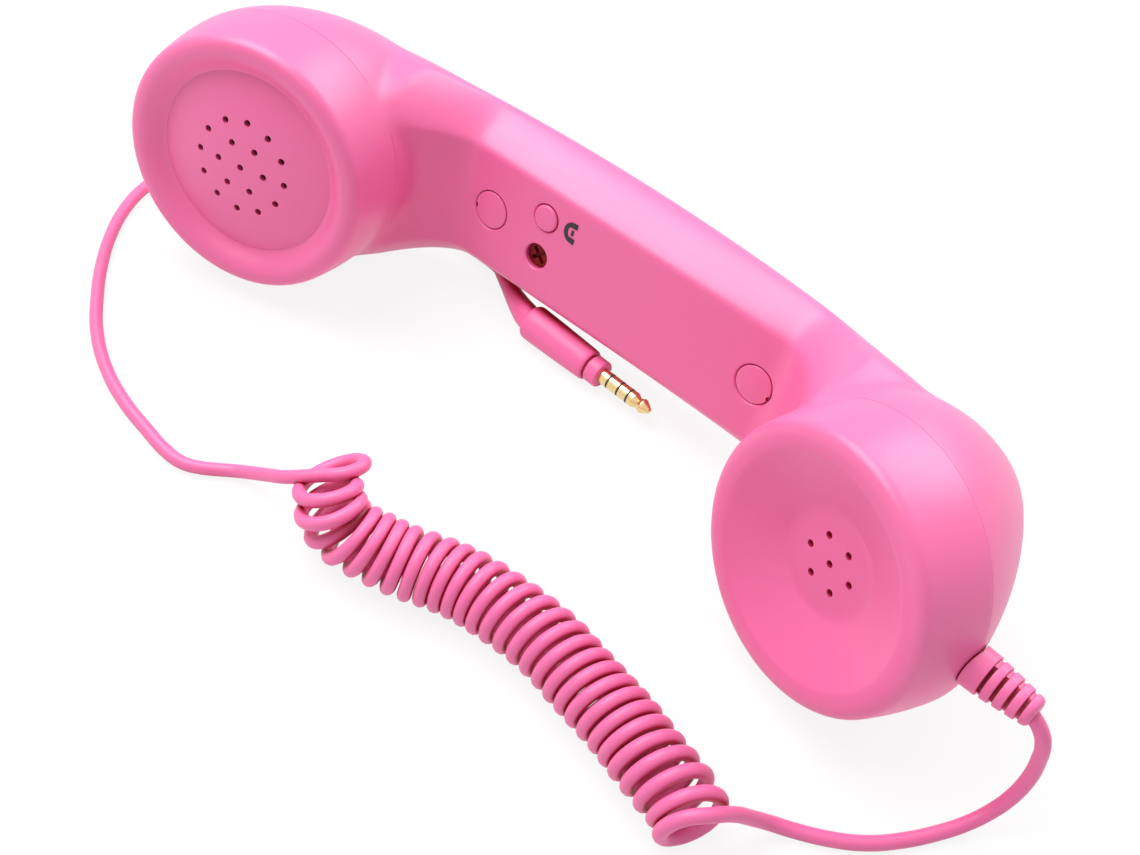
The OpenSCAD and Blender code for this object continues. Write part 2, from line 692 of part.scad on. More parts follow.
// Closed rings of n points along a path; radii are spread evenly over its length
function tube_rings(path, radii, n) =
    let (last = len(path) - 1)
    [for (i = [0:last])
        let (t = unit(path[min(last, i + 1)] - path[max(0, i - 1)]),
             u = unit(cross(t, [0, 0, 1])),
             v = cross(u, t),
             f = i / last * (len(radii) - 1),
             k = min(len(radii) - 2, floor(f)),
             r = radii[k] + (f - k) * (radii[k + 1] - radii[k]))
        [for (j = [0:n - 1]) path[i] + r * (cos(j * 360 / n) * u + sin(j * 360 / n) * v)]];

// Points of a route, raised where a tube of radius r would sink into the table
function on_table(route, r) = [for (p = route) [p[0], p[1], len(p) > 2 ? max(p[2], r) : r]];

// Half section of the collars; it starts inside the cup's wall
function relief_profile() = concat(
    [[0, -wall]],
    [for (i = [0:relief_collars - 1])
        let (last = i == relief_collars - 1,
             f = i / (relief_collars - 1),
             r = relief_r[0] + f * (relief_r[1] - relief_r[0]),
             c = relief_core[0] + f * (relief_core[1] - relief_core[0]),
             z0 = i == 0 ? -wall : relief_first + relief_slot + (i - 1) * relief_pitch,
             z1 = relief_first + i * relief_pitch)
        each concat([[r, z0], [r - 0.2, z1]], last ? [[0, z1]] : [[c, z1], [c, z1 + relief_slot]])]);

module strain_relief() {
    difference() {
        at_relief() rotate_extrude() polygon(relief_profile());
        cup(MOUTH);
    }
    at_relief() translate([0, 0, -relief_in]) {
        cylinder(h = relief_flange_t, r = relief_flange_r);
        cylinder(h = relief_in + relief_first / 2, r = relief_neck_r);
    }
}

module cord_lead_mouth()
    tube(on_table(concat([on_row(relief_at(relief_len + 0.1)),
                          on_row(relief_at(relief_len + 2)) - [0, 0, 0.5]],
                         mouth_lead_route), cord_r), cord_r, per = 2);

module cord_coil()
    skin(tube_rings(smooth(on_table(coil_route, coil_d / 2), 2), [coil_d / 2, coil_d / 2], 16));

module cord_lead_plug()
    tube(on_table(plug_lead_route, cord_r), cord_r, per = 2);

module at_plug()
    translate([plug_at[0], plug_at[1], grip_d / 2])
        rotate([0, 0, plug_turn]) rotate([0, 90, 0]) children();

// Grip of the plug with its flexible neck
module plug_body() {
    at_plug() rotate_extrude()
        polygon([[0, 0], [3.4, 0], [grip_d / 2 - 0.15, 0.35], [grip_d / 2, 1.1],
                 [grip_end_r + 0.25, grip_len - 0.6], [grip_end_r - 0.2, grip_len],
                 [2.6, grip_len], [2.6, grip_len + collar_neck],
                 [collar_r, grip_len + collar_neck], [collar_r, jack_z - 0.3],
                 [collar_r - 0.3, jack_z], [0, jack_z]]);
    skin(tube_rings(smooth(plug_neck_route, 3), plug_neck_r, 16));
}

// A stretch of the jack's shaft between two places along it
module shaft_part(z0, z1)
    at_plug() translate([0, 0, jack_z + z0]) cylinder(h = z1 - z0, d = shaft_d);

module plug_sleeve() shaft_part(0, contact_z[0]);
module plug_ring_back() shaft_part(contact_z[0] + insulator_t, contact_z[1]);
module plug_ring_front() shaft_part(contact_z[1] + insulator_t, contact_z[2]);
module plug_insulators() for (z = contact_z) shaft_part(z, z + insulator_t);

module plug_tip()
    at_plug() translate([0, 0, jack_z]) rotate_extrude()
        polygon([[0, contact_z[2] + insulator_t], [shaft_d / 2, contact_z[2] + insulator_t],
                 [shaft_d / 2, tip_waist_z - 1], [shaft_d / 2 - 0.55, tip_waist_z],
                 [shaft_d / 2 - 0.05, tip_waist_z + 1.1], [shaft_d / 2 - 0.1, tip_waist_z + 1.5],
                 [0.7, shaft_len - 0.3], [0.35, shaft_len], [0, shaft_len]]);

// ---- resting place ----------------------------------------------------------------------

// Rings that bound a cup: shift across its axis, depth and radius
function cup_rings(side) =
    let (rise = cup_depth - part_depth - crown_h)
    concat(
        [[0, 0, cup_wall_r(side, lip_round, 0) - lip_round]],
        [for (i = [0:5]) let (d = lip_round + i / 5 * (part_depth - lip_round))
            [0, d, cup_wall_r(side, d, 0)]],
        [for (h = [0:0.5:rise])
            [-side * (back_lean(side) * h + back_curl(side) * h * h), part_depth + h,
             cup_wall_r(side, part_depth + h, 0)]]);

// How far a cup reaches in a direction given in the handset frame
function cup_reach(side, v) =
    let (t = cup_tilt(side),
         across = [cos(t), -side * sin(t), 0],
         along = [side * sin(t), cos(t), 0])
    max([for (r = cup_rings(side))
        ([side * half_span, 0, 0] + r[0] * across + r[1] * along) * v
        + r[2] * sqrt(pow(across * v, 2) + pow(v[2], 2))]);

// Handset frame turned to the object's: lean about X, then pitch about Y
function turned(p, pitch) =
    let (y = p[1] * cos(lean) + p[2] * sin(lean),
         z = p[2] * cos(lean) - p[1] * sin(lean))
    [p[0] * cos(pitch) + z * sin(pitch), y, z * cos(pitch) - p[0] * sin(pitch)];

// Directions of the object's axes in the handset frame
function axis_x(pitch) = [cos(pitch), -sin(lean) * sin(pitch), cos(lean) * sin(pitch)];
function axis_y() = [0, cos(lean), sin(lean)];
function axis_z(pitch) = [-sin(pitch), -sin(lean) * cos(pitch), cos(lean) * cos(pitch)];

function depth_under(side, pitch) = cup_reach(side, -axis_z(pitch));
function pitch_step(pitch) =
    pitch + asin((depth_under(EAR, pitch) - depth_under(MOUTH, pitch)) / (2 * half_span));
rest_pitch = pitch_step(pitch_step(0));
rest_lift = max(depth_under(EAR, rest_pitch), depth_under(MOUTH, rest_pitch));

// Centre of the handset's outline on the table
centre_x = (turned(relief_at(relief_len) + [relief_r[1] * sin(relief_tilt), 0, 0], rest_pitch)[0]
            - cup_reach(EAR, -axis_x(rest_pitch))) / 2;
centre_y = (max([for (p = handle_section(arch_x, 0)) p * axis_y()])
            - max(cup_reach(EAR, -axis_y()), cup_reach(MOUTH, -axis_y()))) / 2;

function on_row(p) = turned(p, rest_pitch) + [-centre_x, -centre_y, rest_lift];

module lay_down()
    translate([-centre_x, -centre_y, rest_lift]) rotate([-lean, rest_pitch, 0]) children();

color("hotpink") lay_down() front_shell();
color("hotpink") lay_down() back_shell();
color("hotpink") lay_down() ear_grille();
color("dimgray") lay_down() ear_gasket();
color("silver") lay_down() speaker_frame();
color("black") lay_down() speaker_cone();
color("gray") lay_down() speaker_magnet();
color("white") lay_down() speaker_retainer();
color("black") lay_down() microphone_boot();
color("silver") lay_down() microphone_capsule();
color("gray") lay_down() ballast_ring();
color("green") lay_down() circuit_board();
color("black") lay_down() board_chip();
color("silver") lay_down() board_screw(board_posts[0]);  // board_screw_ear_end
color("silver") lay_down() board_screw(board_posts[1]);  // board_screw_mouth_end
color("black") lay_down() tact_switch();
color("white") lay_down() switch_plunger();
color("hotpink") lay_down() call_button();
color("white") lay_down() trimmer_body();
color("darkred") lay_down() trimmer_rotor();
color("hotpink") lay_down() screw_cap(cap_ear_x);  // cap_ear_end
color("hotpink") lay_down() screw_cap(cap_mouth_x);  // cap_mouth_end
color("silver") lay_down() case_screw(cap_ear_x);  // screw_ear_end
color("silver") lay_down() case_screw(cap_mouth_x);  // screw_mouth_end
color("black") lay_down() call_mark();
color("red") lay_down() speaker_wires();
color("red") lay_down() microphone_wires();
color("lightpink") lay_down() cord_tail();
color("lightpink") lay_down() strain_relief();
color("lightpink") cord_lead_mouth();
color("lightpink") cord_coil();
color("lightpink") cord_lead_plug();
color("lightpink") plug_body();
color("gold") plug_sleeve();
color("gold") plug_ring_back();
color("gold") plug_ring_front();
color("gold") plug_tip();
color("black") plug_insulators();
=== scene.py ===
"""Telephone handset with a curly cord and a four-pole jack plug, lying on a white table."""
import math

import bmesh
import bpy
import numpy as np
from mathutils import Matrix, Vector
from mathutils.bvhtree import BVHTree


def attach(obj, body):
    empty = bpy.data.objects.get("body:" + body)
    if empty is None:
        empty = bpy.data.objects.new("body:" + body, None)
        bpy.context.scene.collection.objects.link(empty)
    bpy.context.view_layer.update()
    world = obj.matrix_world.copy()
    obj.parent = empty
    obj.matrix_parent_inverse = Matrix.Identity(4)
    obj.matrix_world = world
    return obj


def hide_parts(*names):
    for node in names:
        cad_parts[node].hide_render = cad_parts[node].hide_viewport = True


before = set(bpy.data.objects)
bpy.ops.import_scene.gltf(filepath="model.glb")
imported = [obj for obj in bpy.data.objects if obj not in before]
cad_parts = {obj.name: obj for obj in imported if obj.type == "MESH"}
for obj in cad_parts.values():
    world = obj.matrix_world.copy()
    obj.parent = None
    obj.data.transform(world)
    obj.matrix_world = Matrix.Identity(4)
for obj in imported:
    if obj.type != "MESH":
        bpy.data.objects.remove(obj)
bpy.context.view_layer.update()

# ---- Table, backdrop, lamps and camera --------------------------------------------------
# A white table runs back into a white backdrop. One wide soft box hangs above at the left, a
# weaker one stands behind, and the white room fills the shadows.

scene = bpy.context.scene
scene.view_settings.view_transform = "Standard"


def new_material(name):
    """An empty material with its Principled BSDF joined to the output."""
    material = bpy.data.materials.new(name)
    material.use_nodes = True
    nodes = material.node_tree.nodes
    nodes.clear()
    shader = nodes.new("ShaderNodeBsdfPrincipled")
    output = nodes.new("ShaderNodeOutputMaterial")
    material.node_tree.links.new(shader.outputs["BSDF"], output.inputs["Surface"])
    return material, nodes, material.node_tree.links, shader


def seen_directly(nodes, links):
    """1 for rays of the camera, of gloss and of glass, which see the plain white room."""
    path = nodes.new("ShaderNodeLightPath")
    both = nodes.new("ShaderNodeMath")
    both.operation = "MAXIMUM"
    links.new(path.outputs["Is Camera Ray"], both.inputs[0])
    links.new(path.outputs["Is Glossy Ray"], both.inputs[1])
    every = nodes.new("ShaderNodeMath")
    every.operation = "MAXIMUM"
    links.new(both.outputs[0], every.inputs[0])
    links.new(path.outputs["Is Transmission Ray"], every.inputs[1])
    return every.outputs[0]


ROOM_LIGHT = 0.44
world = bpy.data.worlds.new("white_room")
world.use_nodes = True
scene.world = world
nodes, links = world.node_tree.nodes, world.node_tree.links
background = nodes["Background"]
background.inputs["Color"].default_value = (1, 1, 1, 1)
strength = nodes.new("ShaderNodeMapRange")
strength.inputs["To Min"].default_value = ROOM_LIGHT
strength.inputs["To Max"].default_value = 1.0
links.new(seen_directly(nodes, links), strength.inputs["Value"])
links.new(strength.outputs["Result"], background.inputs["Strength"])

table_mesh = bpy.data.meshes.new("table_top")
TABLE_HALF, TABLE_GLOW = 3.0, 0.87
corners = [(x * TABLE_HALF, y * TABLE_HALF, 0) for x, y in ((-1, -1), (1, -1), (1, 1), (-1, 1))]
table_mesh.from_pydata(corners, [], [(0, 1, 2, 3)])
table = bpy.data.objects.new("table_top", table_mesh)
scene.collection.objects.link(table)
material, nodes, links, shader = new_material("white_table")
shader.inputs["Base Color"].default_value = (0.86, 0.86, 0.86, 1)
shader.inputs["Roughness"].default_value = 0.7
shader.inputs["Specular IOR Level"].default_value = 0.1
glow = nodes.new("ShaderNodeEmission")
share = nodes.new("ShaderNodeMath")
share.operation = "MULTIPLY"
share.inputs[1].default_value = TABLE_GLOW
links.new(seen_directly(nodes, links), share.inputs[0])
mixed = nodes.new("ShaderNodeMixShader")
links.new(share.outputs[0], mixed.inputs["Fac"])
links.new(shader.outputs["BSDF"], mixed.inputs[1])
links.new(glow.outputs["Emission"], mixed.inputs[2])
links.new(mixed.outputs["Shader"], nodes["Material Output"].inputs["Surface"])
table_mesh.materials.append(material)


def soft_box(name, place, target, size, power):
    """A rectangular lamp that looks at a target."""
    lamp = bpy.data.lights.new(name, "AREA")
    lamp.shape = "RECTANGLE"
    lamp.size, lamp.size_y = size
    lamp.energy = power
    lamp_object = bpy.data.objects.new(name, lamp)
    lamp_object.location = place
    aim = Vector(target) - Vector(place)
    lamp_object.rotation_euler = aim.to_track_quat("-Z", "Y").to_euler()
    scene.collection.objects.link(lamp_object)


soft_box("soft_box_above", (-0.4, -0.05, 0.85), (0, 0, 0), (0.8, 0.6), 10.0)
soft_box("soft_box_behind", (0.1, 0.65, 0.6), (0, 0, 0.02), (0.6, 0.4), 4.0)

camera_data = bpy.data.cameras.new("camera")
camera_data.lens = 46.214
camera_data.sensor_width = 36
camera_data.clip_start = 0.01
camera = bpy.data.objects.new("camera", camera_data)
scene.collection.objects.link(camera)
camera_right = (0.75695, 0.64273, 0.11801)
camera_up = (-0.53939, 0.51259, 0.66807)
camera_back = (0.36889, -0.56935, 0.73468)
camera.matrix_world = Matrix.Translation((0.11626, -0.18108, 0.22970)) @ Matrix(
    (camera_right, camera_up, camera_back)).transposed().to_4x4()
scene.camera = camera

# ---- Case: front half and back half -----------------------------------------------------
# Two injection-moulded halves in satin pink plastic, 2.2 mm thick. They meet in a fine seam
# round both cups and along the handle, and two screws hold them from the inner face. Places
# inside the handset are in millimetres: x runs from earpiece to mouthpiece, y into the handle.

MM = 0.001
EAR, MOUTH = -1, 1
HALF_SPAN = 73
LEAN, PITCH = math.radians(11), math.radians(0.3905)
HANDSET = (Matrix.Translation((-5.98662 * MM, -22.9942 * MM, 31.6602 * MM))
           @ Matrix.Rotation(PITCH, 4, "Y") @ Matrix.Rotation(-LEAN, 4, "X")
           @ Matrix.Scale(MM, 4))
TILT = {EAR: 15, MOUTH: 19}
INTO = Matrix.Rotation(math.radians(-90), 4, "X")
CUP = {side: HANDSET @ Matrix.Translation((side * HALF_SPAN, 0, 0))
       @ Matrix.Rotation(math.radians(-side * TILT[side]), 4, "Z") @ INTO for side in (EAR, MOUTH)}
CUP_R = {EAR: 29.2, MOUTH: 28.2}
BACK = {EAR: (0.0134, 0.145, 0.0068), MOUTH: (0.0148, 0.38, -0.0066)}
WALL, PART_DEPTH, LIP_ROUND, LIP_DRAFT = 2.2, 15, 2.4, 1.2
CUP_DEPTH, CROWN_H = 47, 3
FACE_Y = 37.6


def on_face(x, z):
    """Place on the handle's inner face, with Z running into the handle."""
    return HANDSET @ Matrix.Translation((x, 0, z)) @ INTO


def new_piece(name, points, faces, place=None):
    """A mesh piece with its faces turned outwards."""
    mesh = bpy.data.meshes.new(name)
    mesh.from_pydata([tuple(p) for p in points], [], faces)
    if place is not None:
        mesh.transform(place)
    bm = bmesh.new()
    bm.from_mesh(mesh)
    bmesh.ops.recalc_face_normals(bm, faces=bm.faces)
    bm.to_mesh(mesh)
    bm.free()
    piece = bpy.data.objects.new(name, mesh)
    scene.collection.objects.link(piece)
    return piece


def loft(name, rings, place=None, closed=False):
    """Skins rings of equal length; the ends are capped, or joined when closed."""
    n, rows = len(rings[0]), len(rings)
    faces = [(i * n + j, i * n + (j + 1) % n, (i + 1) % rows * n + (j + 1) % n,
              (i + 1) % rows * n + j)
             for i in range(rows if closed else rows - 1) for j in range(n)]
    if not closed:
        faces += [tuple(range(n)), tuple((rows - 1) * n + j for j in range(n))]
    return new_piece(name, [p for ring in rings for p in ring], faces, place)


def ring(r, z, shift=0.0, n=128):
    """A circle of points at depth z, moved sideways by shift."""
    return [(r * math.cos(a) + shift, -r * math.sin(a), z)
            for a in (2 * math.pi * j / n for j in range(n))]


def revolve(name, profile, place, n=128, closed=False):
    """Turns a half section of (radius, depth) about the local Z axis."""
    return loft(name, [ring(max(r, 0.01), z, n=n) for r, z in profile], place, closed)


def rod(name, place, r, z0, z1, n=48):
    """A plain round post or cutter from z0 to z1."""
    return revolve(name, [(r, z0), (r, z1)], place, n)


def baked(piece):
    """Applies what modifiers a piece has."""
    bpy.context.view_layer.update()
    graph = bpy.context.evaluated_depsgraph_get()
    mesh = bpy.data.meshes.new_from_object(piece.evaluated_get(graph))
    piece.modifiers.clear()
    old, piece.data = piece.data, mesh
    mesh.name = piece.name
    bpy.data.meshes.remove(old)
    return piece


def carve(piece, *steps):
    """Joins, cuts or intersects a piece with others, which are used up."""
    for how, tool in steps:
        step = piece.modifiers.new(tool.name, "BOOLEAN")
        step.operation, step.solver, step.object = how, "MANIFOLD", tool
    baked(piece)
    for tool in {tool for _, tool in steps}:
        bpy.data.objects.remove(tool)
    return piece


def cup_wall_r(side, d, inset=0.0):
    """Radius of a cup's wall at depth d: a slight draft in front, a curve behind."""
    if d < PART_DEPTH:
        fall = LIP_DRAFT * ((PART_DEPTH - d) / (PART_DEPTH - LIP_ROUND)) ** 2
    else:
        fall = BACK[side][0] * (d - PART_DEPTH) ** 2
    return CUP_R[side] - inset - fall


def cup_back(side, inset):
    """Rings of a cup's back, which drifts towards the handle, then its rounded crown."""
    _, lean, curl = BACK[side]
    rise = CUP_DEPTH - PART_DEPTH - CROWN_H
    heights = [(h, cup_wall_r(side, PART_DEPTH + h, inset)) for h in np.linspace(0, rise, 20)]
    crown, shoulder = CROWN_H - inset, cup_wall_r(side, PART_DEPTH + rise, inset)
    heights += [(rise + crown * math.sin(a), shoulder * math.cos(a))
                for a in np.linspace(0.13, 1.53, 12)]
    return [ring(r, PART_DEPTH + h, -side * (lean * h + curl * h * h)) for h, r in heights]


def cup_form(side, grown=0.0):
    """Outside of a whole cup, with its rounded lip."""
    lip_r = cup_wall_r(side, LIP_ROUND) - LIP_ROUND + grown
    rings = [ring(lip_r + LIP_ROUND * math.sin(a), LIP_ROUND * (1 - math.cos(a)))
             for a in np.linspace(0, math.pi / 2, 9)]
    rings += [ring(cup_wall_r(side, d, -grown), d)
              for d in np.linspace(LIP_ROUND, PART_DEPTH, 9)[1:-1]]
    return loft("cup", rings + cup_back(side, -grown), CUP[side])


HANDLE_THICK, HANDLE_HALF_W, FACE_HALF_W = 17.4, 19.2, 12.6
ARCH_R, ARCH_X, NECK_X = 255, -8, 39.5


def past_neck(x):
    """How far x lies beyond the straight part of the handle."""
    return min(17.5, max(0, abs(x) - NECK_X))


def inner_y(x):
    """Depth of the handle's inner face, which swells towards the cups."""
    return FACE_Y - 0.09 * past_neck(x) ** 2


def handle_form(inset=0.0, end=80, step=2):
    """The handle: flat inner face, full flanks and an arched back, lofted along its length."""
    rings = []
    for x in np.arange(-end, end + 0.1, step):
        y0 = inner_y(x) + inset
        y2 = FACE_Y + HANDLE_THICK - ARCH_R + math.sqrt(ARCH_R ** 2 - (x - ARCH_X) ** 2) - inset
        y1 = inner_y(x) + 0.62 * (y2 + inset - inner_y(x))
        half_w = HANDLE_HALF_W + 0.014 * past_neck(x) ** 2
        w, f = half_w - inset, FACE_HALF_W + half_w - HANDLE_HALF_W - inset / 2
        side = [(y1 - (y1 - y0) * math.cos(a) ** 1.6, f + (w - f) * math.sin(a) ** 1.6)
                for a in np.linspace(0, math.pi / 2, 19)]
        side += [(y1 + (y2 - y1) * math.sin(a) ** (1 / 1.1), w * math.cos(a) ** (1 / 1.1))
                 for a in np.linspace(0, math.pi / 2, 22)[1:-1]]
        half_ring = [(x, y, z) for y, z in side]
        rings.append(half_ring + [(x, y2, 0)] + [(x, y, -z) for _, y, z in reversed(half_ring)])
    return loft("handle", rings, HANDSET)


def surface_of(piece):
    """A search tree of a piece's surface."""
    return BVHTree.FromPolygons([v.co for v in piece.data.vertices],
                                [tuple(p.vertices) for p in piece.data.polygons])


def soften_joint(mesh, first, second, reach, rounds):
    """Rounds the inner corner where two forms meet, within reach of both."""
    points = np.empty(len(mesh.vertices) * 3)
    mesh.vertices.foreach_get("co", points)
    points = points.reshape(-1, 3)
    near = np.zeros(len(points))
    for i, p in enumerate(points):
        a = first.find_nearest(p, reach)[3]
        if a is not None:
            b = second.find_nearest(p, reach)[3]
            if b is not None:
                near[i] = 1 - max(a, b) / reach
    edges = np.empty(len(mesh.edges) * 2, int)
    mesh.edges.foreach_get("vertices", edges)
    a, b = edges.reshape(-1, 2).T
    count = np.bincount(a, minlength=len(points)) + np.bincount(b, minlength=len(points))
    weight = (0.03 + 0.55 * np.sqrt(near))[:, None]
    for turn in range(rounds):
        total = np.stack([np.bincount(a, points[b, k], len(points))
                          + np.bincount(b, points[a, k], len(points)) for k in range(3)], 1)
        pull = total / count[:, None] - points
        points = points + pull * (weight if turn > 3 else np.maximum(weight, 0.3))
    mesh.vertices.foreach_set("co", points.ravel())
    mesh.update()


cups = [cup_form(side) for side in (EAR, MOUTH)]
handle = handle_form()
bpy.context.view_layer.update()
cup_skin, handle_skin = carve(cups[0], ("UNION", cups[1])), surface_of(handle)
cup_tree = surface_of(cup_skin)
case = carve(cup_skin, ("UNION", handle))
case.name = "case"
remesh = case.modifiers.new("even_mesh", "REMESH")
remesh.mode, remesh.voxel_size = "VOXEL", 0.5 * MM
baked(case)
soften_joint(case.data, cup_tree, handle_skin, 2.6 * MM, 36)


def cup_space(side):
    """The space in a cup, behind its face."""
    deep, flat_r, lip_d = (5.6, 22.2, WALL + 0.2) if side == EAR else (7.9, 10.3, WALL + 0.7)
    rings = [ring(flat_r, deep), ring(cup_wall_r(side, lip_d, WALL) - 1, lip_d)]
    rings += [ring(cup_wall_r(side, d, WALL), d) for d in np.linspace(lip_d + 1, PART_DEPTH, 8)[:-1]]
    return loft("space", rings + cup_back(side, WALL), CUP[side])


SEAM_GAP = 0.005


def front_region(shift):
    """Everything in front of the seam, which is moved by shift to leave a hair's gap."""
    def cup_seam(side, x):
        t = math.radians(TILT[side])
        return PART_DEPTH * math.cos(t) - (abs(x) - HALF_SPAN - PART_DEPTH * math.sin(t)) * math.tan(t)
    xs = np.linspace(NECK_X, NECK_X + 13, 8)
    handle_seam = [(x, inner_y(x) + 3.2 + 0.13 * past_neck(x)) for x in xs]
    line = [(-140, -70), (-140, cup_seam(EAR, 140)), (-57, cup_seam(EAR, 57))]
    line += [(-x, y) for x, y in reversed(handle_seam)] + handle_seam
    line += [(57, cup_seam(MOUTH, 57)), (140, cup_seam(MOUTH, 140)), (140, -70)]
    line = [(x, y + (shift if y > -70 else 0)) for x, y in line]
    return loft("region", [[(x, y, z) for x, y in line] for z in (-50, 50)], HANDSET)


GRILLE_R, POCKET_R, GRILLE_SINK, DOME_RISE = 20, 20.1, 3.1, 2.7
LEDGE_R, LEDGE_DEPTH = 17.5, 4.3


def recess(side):
    """Hollow of a cup's face: a soft step to the grille, or the dish of the mouthpiece."""
    crest_r = cup_wall_r(side, LIP_ROUND) - LIP_ROUND - 0.4
    if side == EAR:
        profile = [(crest_r + 0.5, -1), (crest_r, 0)]
        profile += [(POCKET_R + t * (crest_r - POCKET_R),
                     GRILLE_SINK * (1 + math.cos(math.pi * t ** 0.8)) / 2)
                    for t in np.linspace(0.96, 0, 16)]
        profile += [(POCKET_R, LEDGE_DEPTH), (LEDGE_R, LEDGE_DEPTH), (LEDGE_R, 6.6)]
    else:
        profile = [(crest_r + 0.5, -1), (crest_r, 0), (crest_r - 1, 0.06), (crest_r - 2, 0.2),
                   (crest_r - 2.4, 0.32), (crest_r - 2.8, 0.52), (11.4, 5.1), (10.9, 5.34), (10.3, 5.52),
                   (9.7, 5.62), (9.1, 5.68), (8.5, 5.7)]
    return revolve("recess", profile, CUP[side])


SOUND_HOLE_R = 0.75


def sound_holes(rows, place, z0, z1):
    """A pattern of small sound holes as one tool: rows of (count, radius)."""
    points, faces = [], []
    for count, r in rows:
        for k in range(count):
            x, y = r * math.cos(2 * math.pi * k / count), r * math.sin(2 * math.pi * k / count)
            n, base = 24, len(points)
            for z in (z0, z1):
                points += [(x + SOUND_HOLE_R * math.cos(2 * math.pi * j / n),
                            y + SOUND_HOLE_R * math.sin(2 * math.pi * j / n), z) for j in range(n)]
            faces += [(base + j, base + (j + 1) % n, base + n + (j + 1) % n, base + n + j)
                      for j in range(n)]
            faces += [tuple(base + j for j in range(n)), tuple(base + n + j for j in range(n))]
    return new_piece("holes", points, faces, place)


CAP_X, BOSS_Y, BOARD_X = (-34.2, 37.3), FACE_Y + 5.8, (-11, 8)
BACK_BOSS_TOP = (52.5, 49.6)
BUTTON_AT, TRIMMER_AT, SIGN_AT = (-20, 6.2), (-20, -3.6), (-13.4, 6.3)
space = carve(cup_space(EAR), ("UNION", cup_space(MOUTH)), ("UNION", handle_form(WALL, 78)))
carve(case, ("DIFFERENCE", space))

# The fine groove of the seam runs round both cups and ends clear of the handle
SEAM_DEPTH, SEAM_FLARE, NECK_CLEAR = 0.13, 0.8, 2.5
seam = {side: revolve("seam", [(CUP_R[side] - SEAM_DEPTH, PART_DEPTH),
                               (CUP_R[side] + 1, PART_DEPTH - SEAM_FLARE),
                               (CUP_R[side] + 1, PART_DEPTH + SEAM_FLARE)], CUP[side], closed=True)
        for side in (EAR, MOUTH)}
for groove in seam.values():
    carve(groove, ("DIFFERENCE", handle_form(-NECK_CLEAR)))
relief_place = (HANDSET @ Matrix.Translation((104.547, 5.6018, 0))
                @ Matrix.Rotation(math.radians(-5), 4, "Z") @ Matrix.Rotation(math.radians(90), 4, "Y"))
carve(case, ("DIFFERENCE", seam[EAR]), ("DIFFERENCE", seam[MOUTH]),
      ("DIFFERENCE", rod("hole", relief_place, 3.5, -8, 2.5)))

back = case.copy()
back.data = case.data.copy()
scene.collection.objects.link(back)
back_steps = [("DIFFERENCE", front_region(SEAM_GAP))]
back_steps += [("UNION", rod("boss", on_face(x, 0), 4, BOSS_Y, top)) for x, top in zip(CAP_X, BACK_BOSS_TOP)]
back_steps += [("DIFFERENCE", rod("hole", on_face(x, 0), 1.3, BOSS_Y - 1, BOSS_Y + 5)) for x in CAP_X]
carve(back, *back_steps)
back.name = "case_back_half"

front_steps = [("INTERSECT", front_region(-SEAM_GAP))]
front_steps += [("UNION", rod("boss", on_face(x, 0), 5.5, 39.2, BOSS_Y - 0.02)) for x in CAP_X]
front_steps += [("UNION", rod("post", on_face(x, 0), 2.4, 39.2, 43.98)) for x in BOARD_X]
for side, r, z0, z1 in ((EAR, 20, 5.2, 10.2), (MOUTH, 8.2, 7.5, 11.5)):
    front_steps.append(("UNION", revolve("collar", [(r, z0), (r + 1.4, z0), (r + 1.4, z1), (r, z1)],
                                         CUP[side], closed=True)))
for turn in (90, 210, 330):
    post = CUP[MOUTH] @ Matrix.Rotation(math.radians(turn), 4, "Z") @ Matrix.Translation((15.5, 0, 0))
    front_steps.append(("UNION", rod("post", post, 2.2, 4.4, 10.38)))
front_steps += [("DIFFERENCE", recess(side)) for side in (EAR, MOUTH)]
front_steps.append(("DIFFERENCE", sound_holes(((1, 0), (6, 5.4)), CUP[MOUTH], 4.5, 10)))
for x in CAP_X:
    well = [(4.75, FACE_Y - 1), (4.75, FACE_Y), (4.42, FACE_Y + 0.3), (4.38, FACE_Y + 1.6),
            (3.2, FACE_Y + 1.6), (3.2, FACE_Y + 4), (1.5, FACE_Y + 4), (1.5, BOSS_Y + 1)]
    front_steps.append(("DIFFERENCE", revolve("well", well, on_face(x, 0), 64)))
for at, r in ((BUTTON_AT, 3.12), (TRIMMER_AT, 2.9)):
    hole = [(r + 0.35, FACE_Y - 0.5), (r + 0.3, FACE_Y), (r, FACE_Y + 0.3), (r, FACE_Y + 4)]
    front_steps.append(("DIFFERENCE", revolve("hole", hole, on_face(*at), 64)))
front_steps += [("DIFFERENCE", rod("hole", on_face(x, 0), 0.9, 40.8, 50)) for x in BOARD_X]
carve(case, *front_steps)
case.name = "case_front_half"


def effect(name, inputs, outputs):
    """An empty node group with named sockets."""
    group = bpy.data.node_groups.new(name, "ShaderNodeTree")
    for label, kind, value in inputs:
        socket = group.interface.new_socket(label, in_out="INPUT", socket_type="NodeSocket" + kind)
        socket.default_value = value
    for label, kind in outputs:
        group.interface.new_socket(label, in_out="OUTPUT", socket_type="NodeSocket" + kind)
    return group, group.nodes, group.links


def node(nodes, kind, **inputs):
    """A new node with the given values on its inputs."""
    made = nodes.new("ShaderNode" + kind)
    for label, value in inputs.items():
        made.inputs[label.replace("_", " ")].default_value = value
    return made


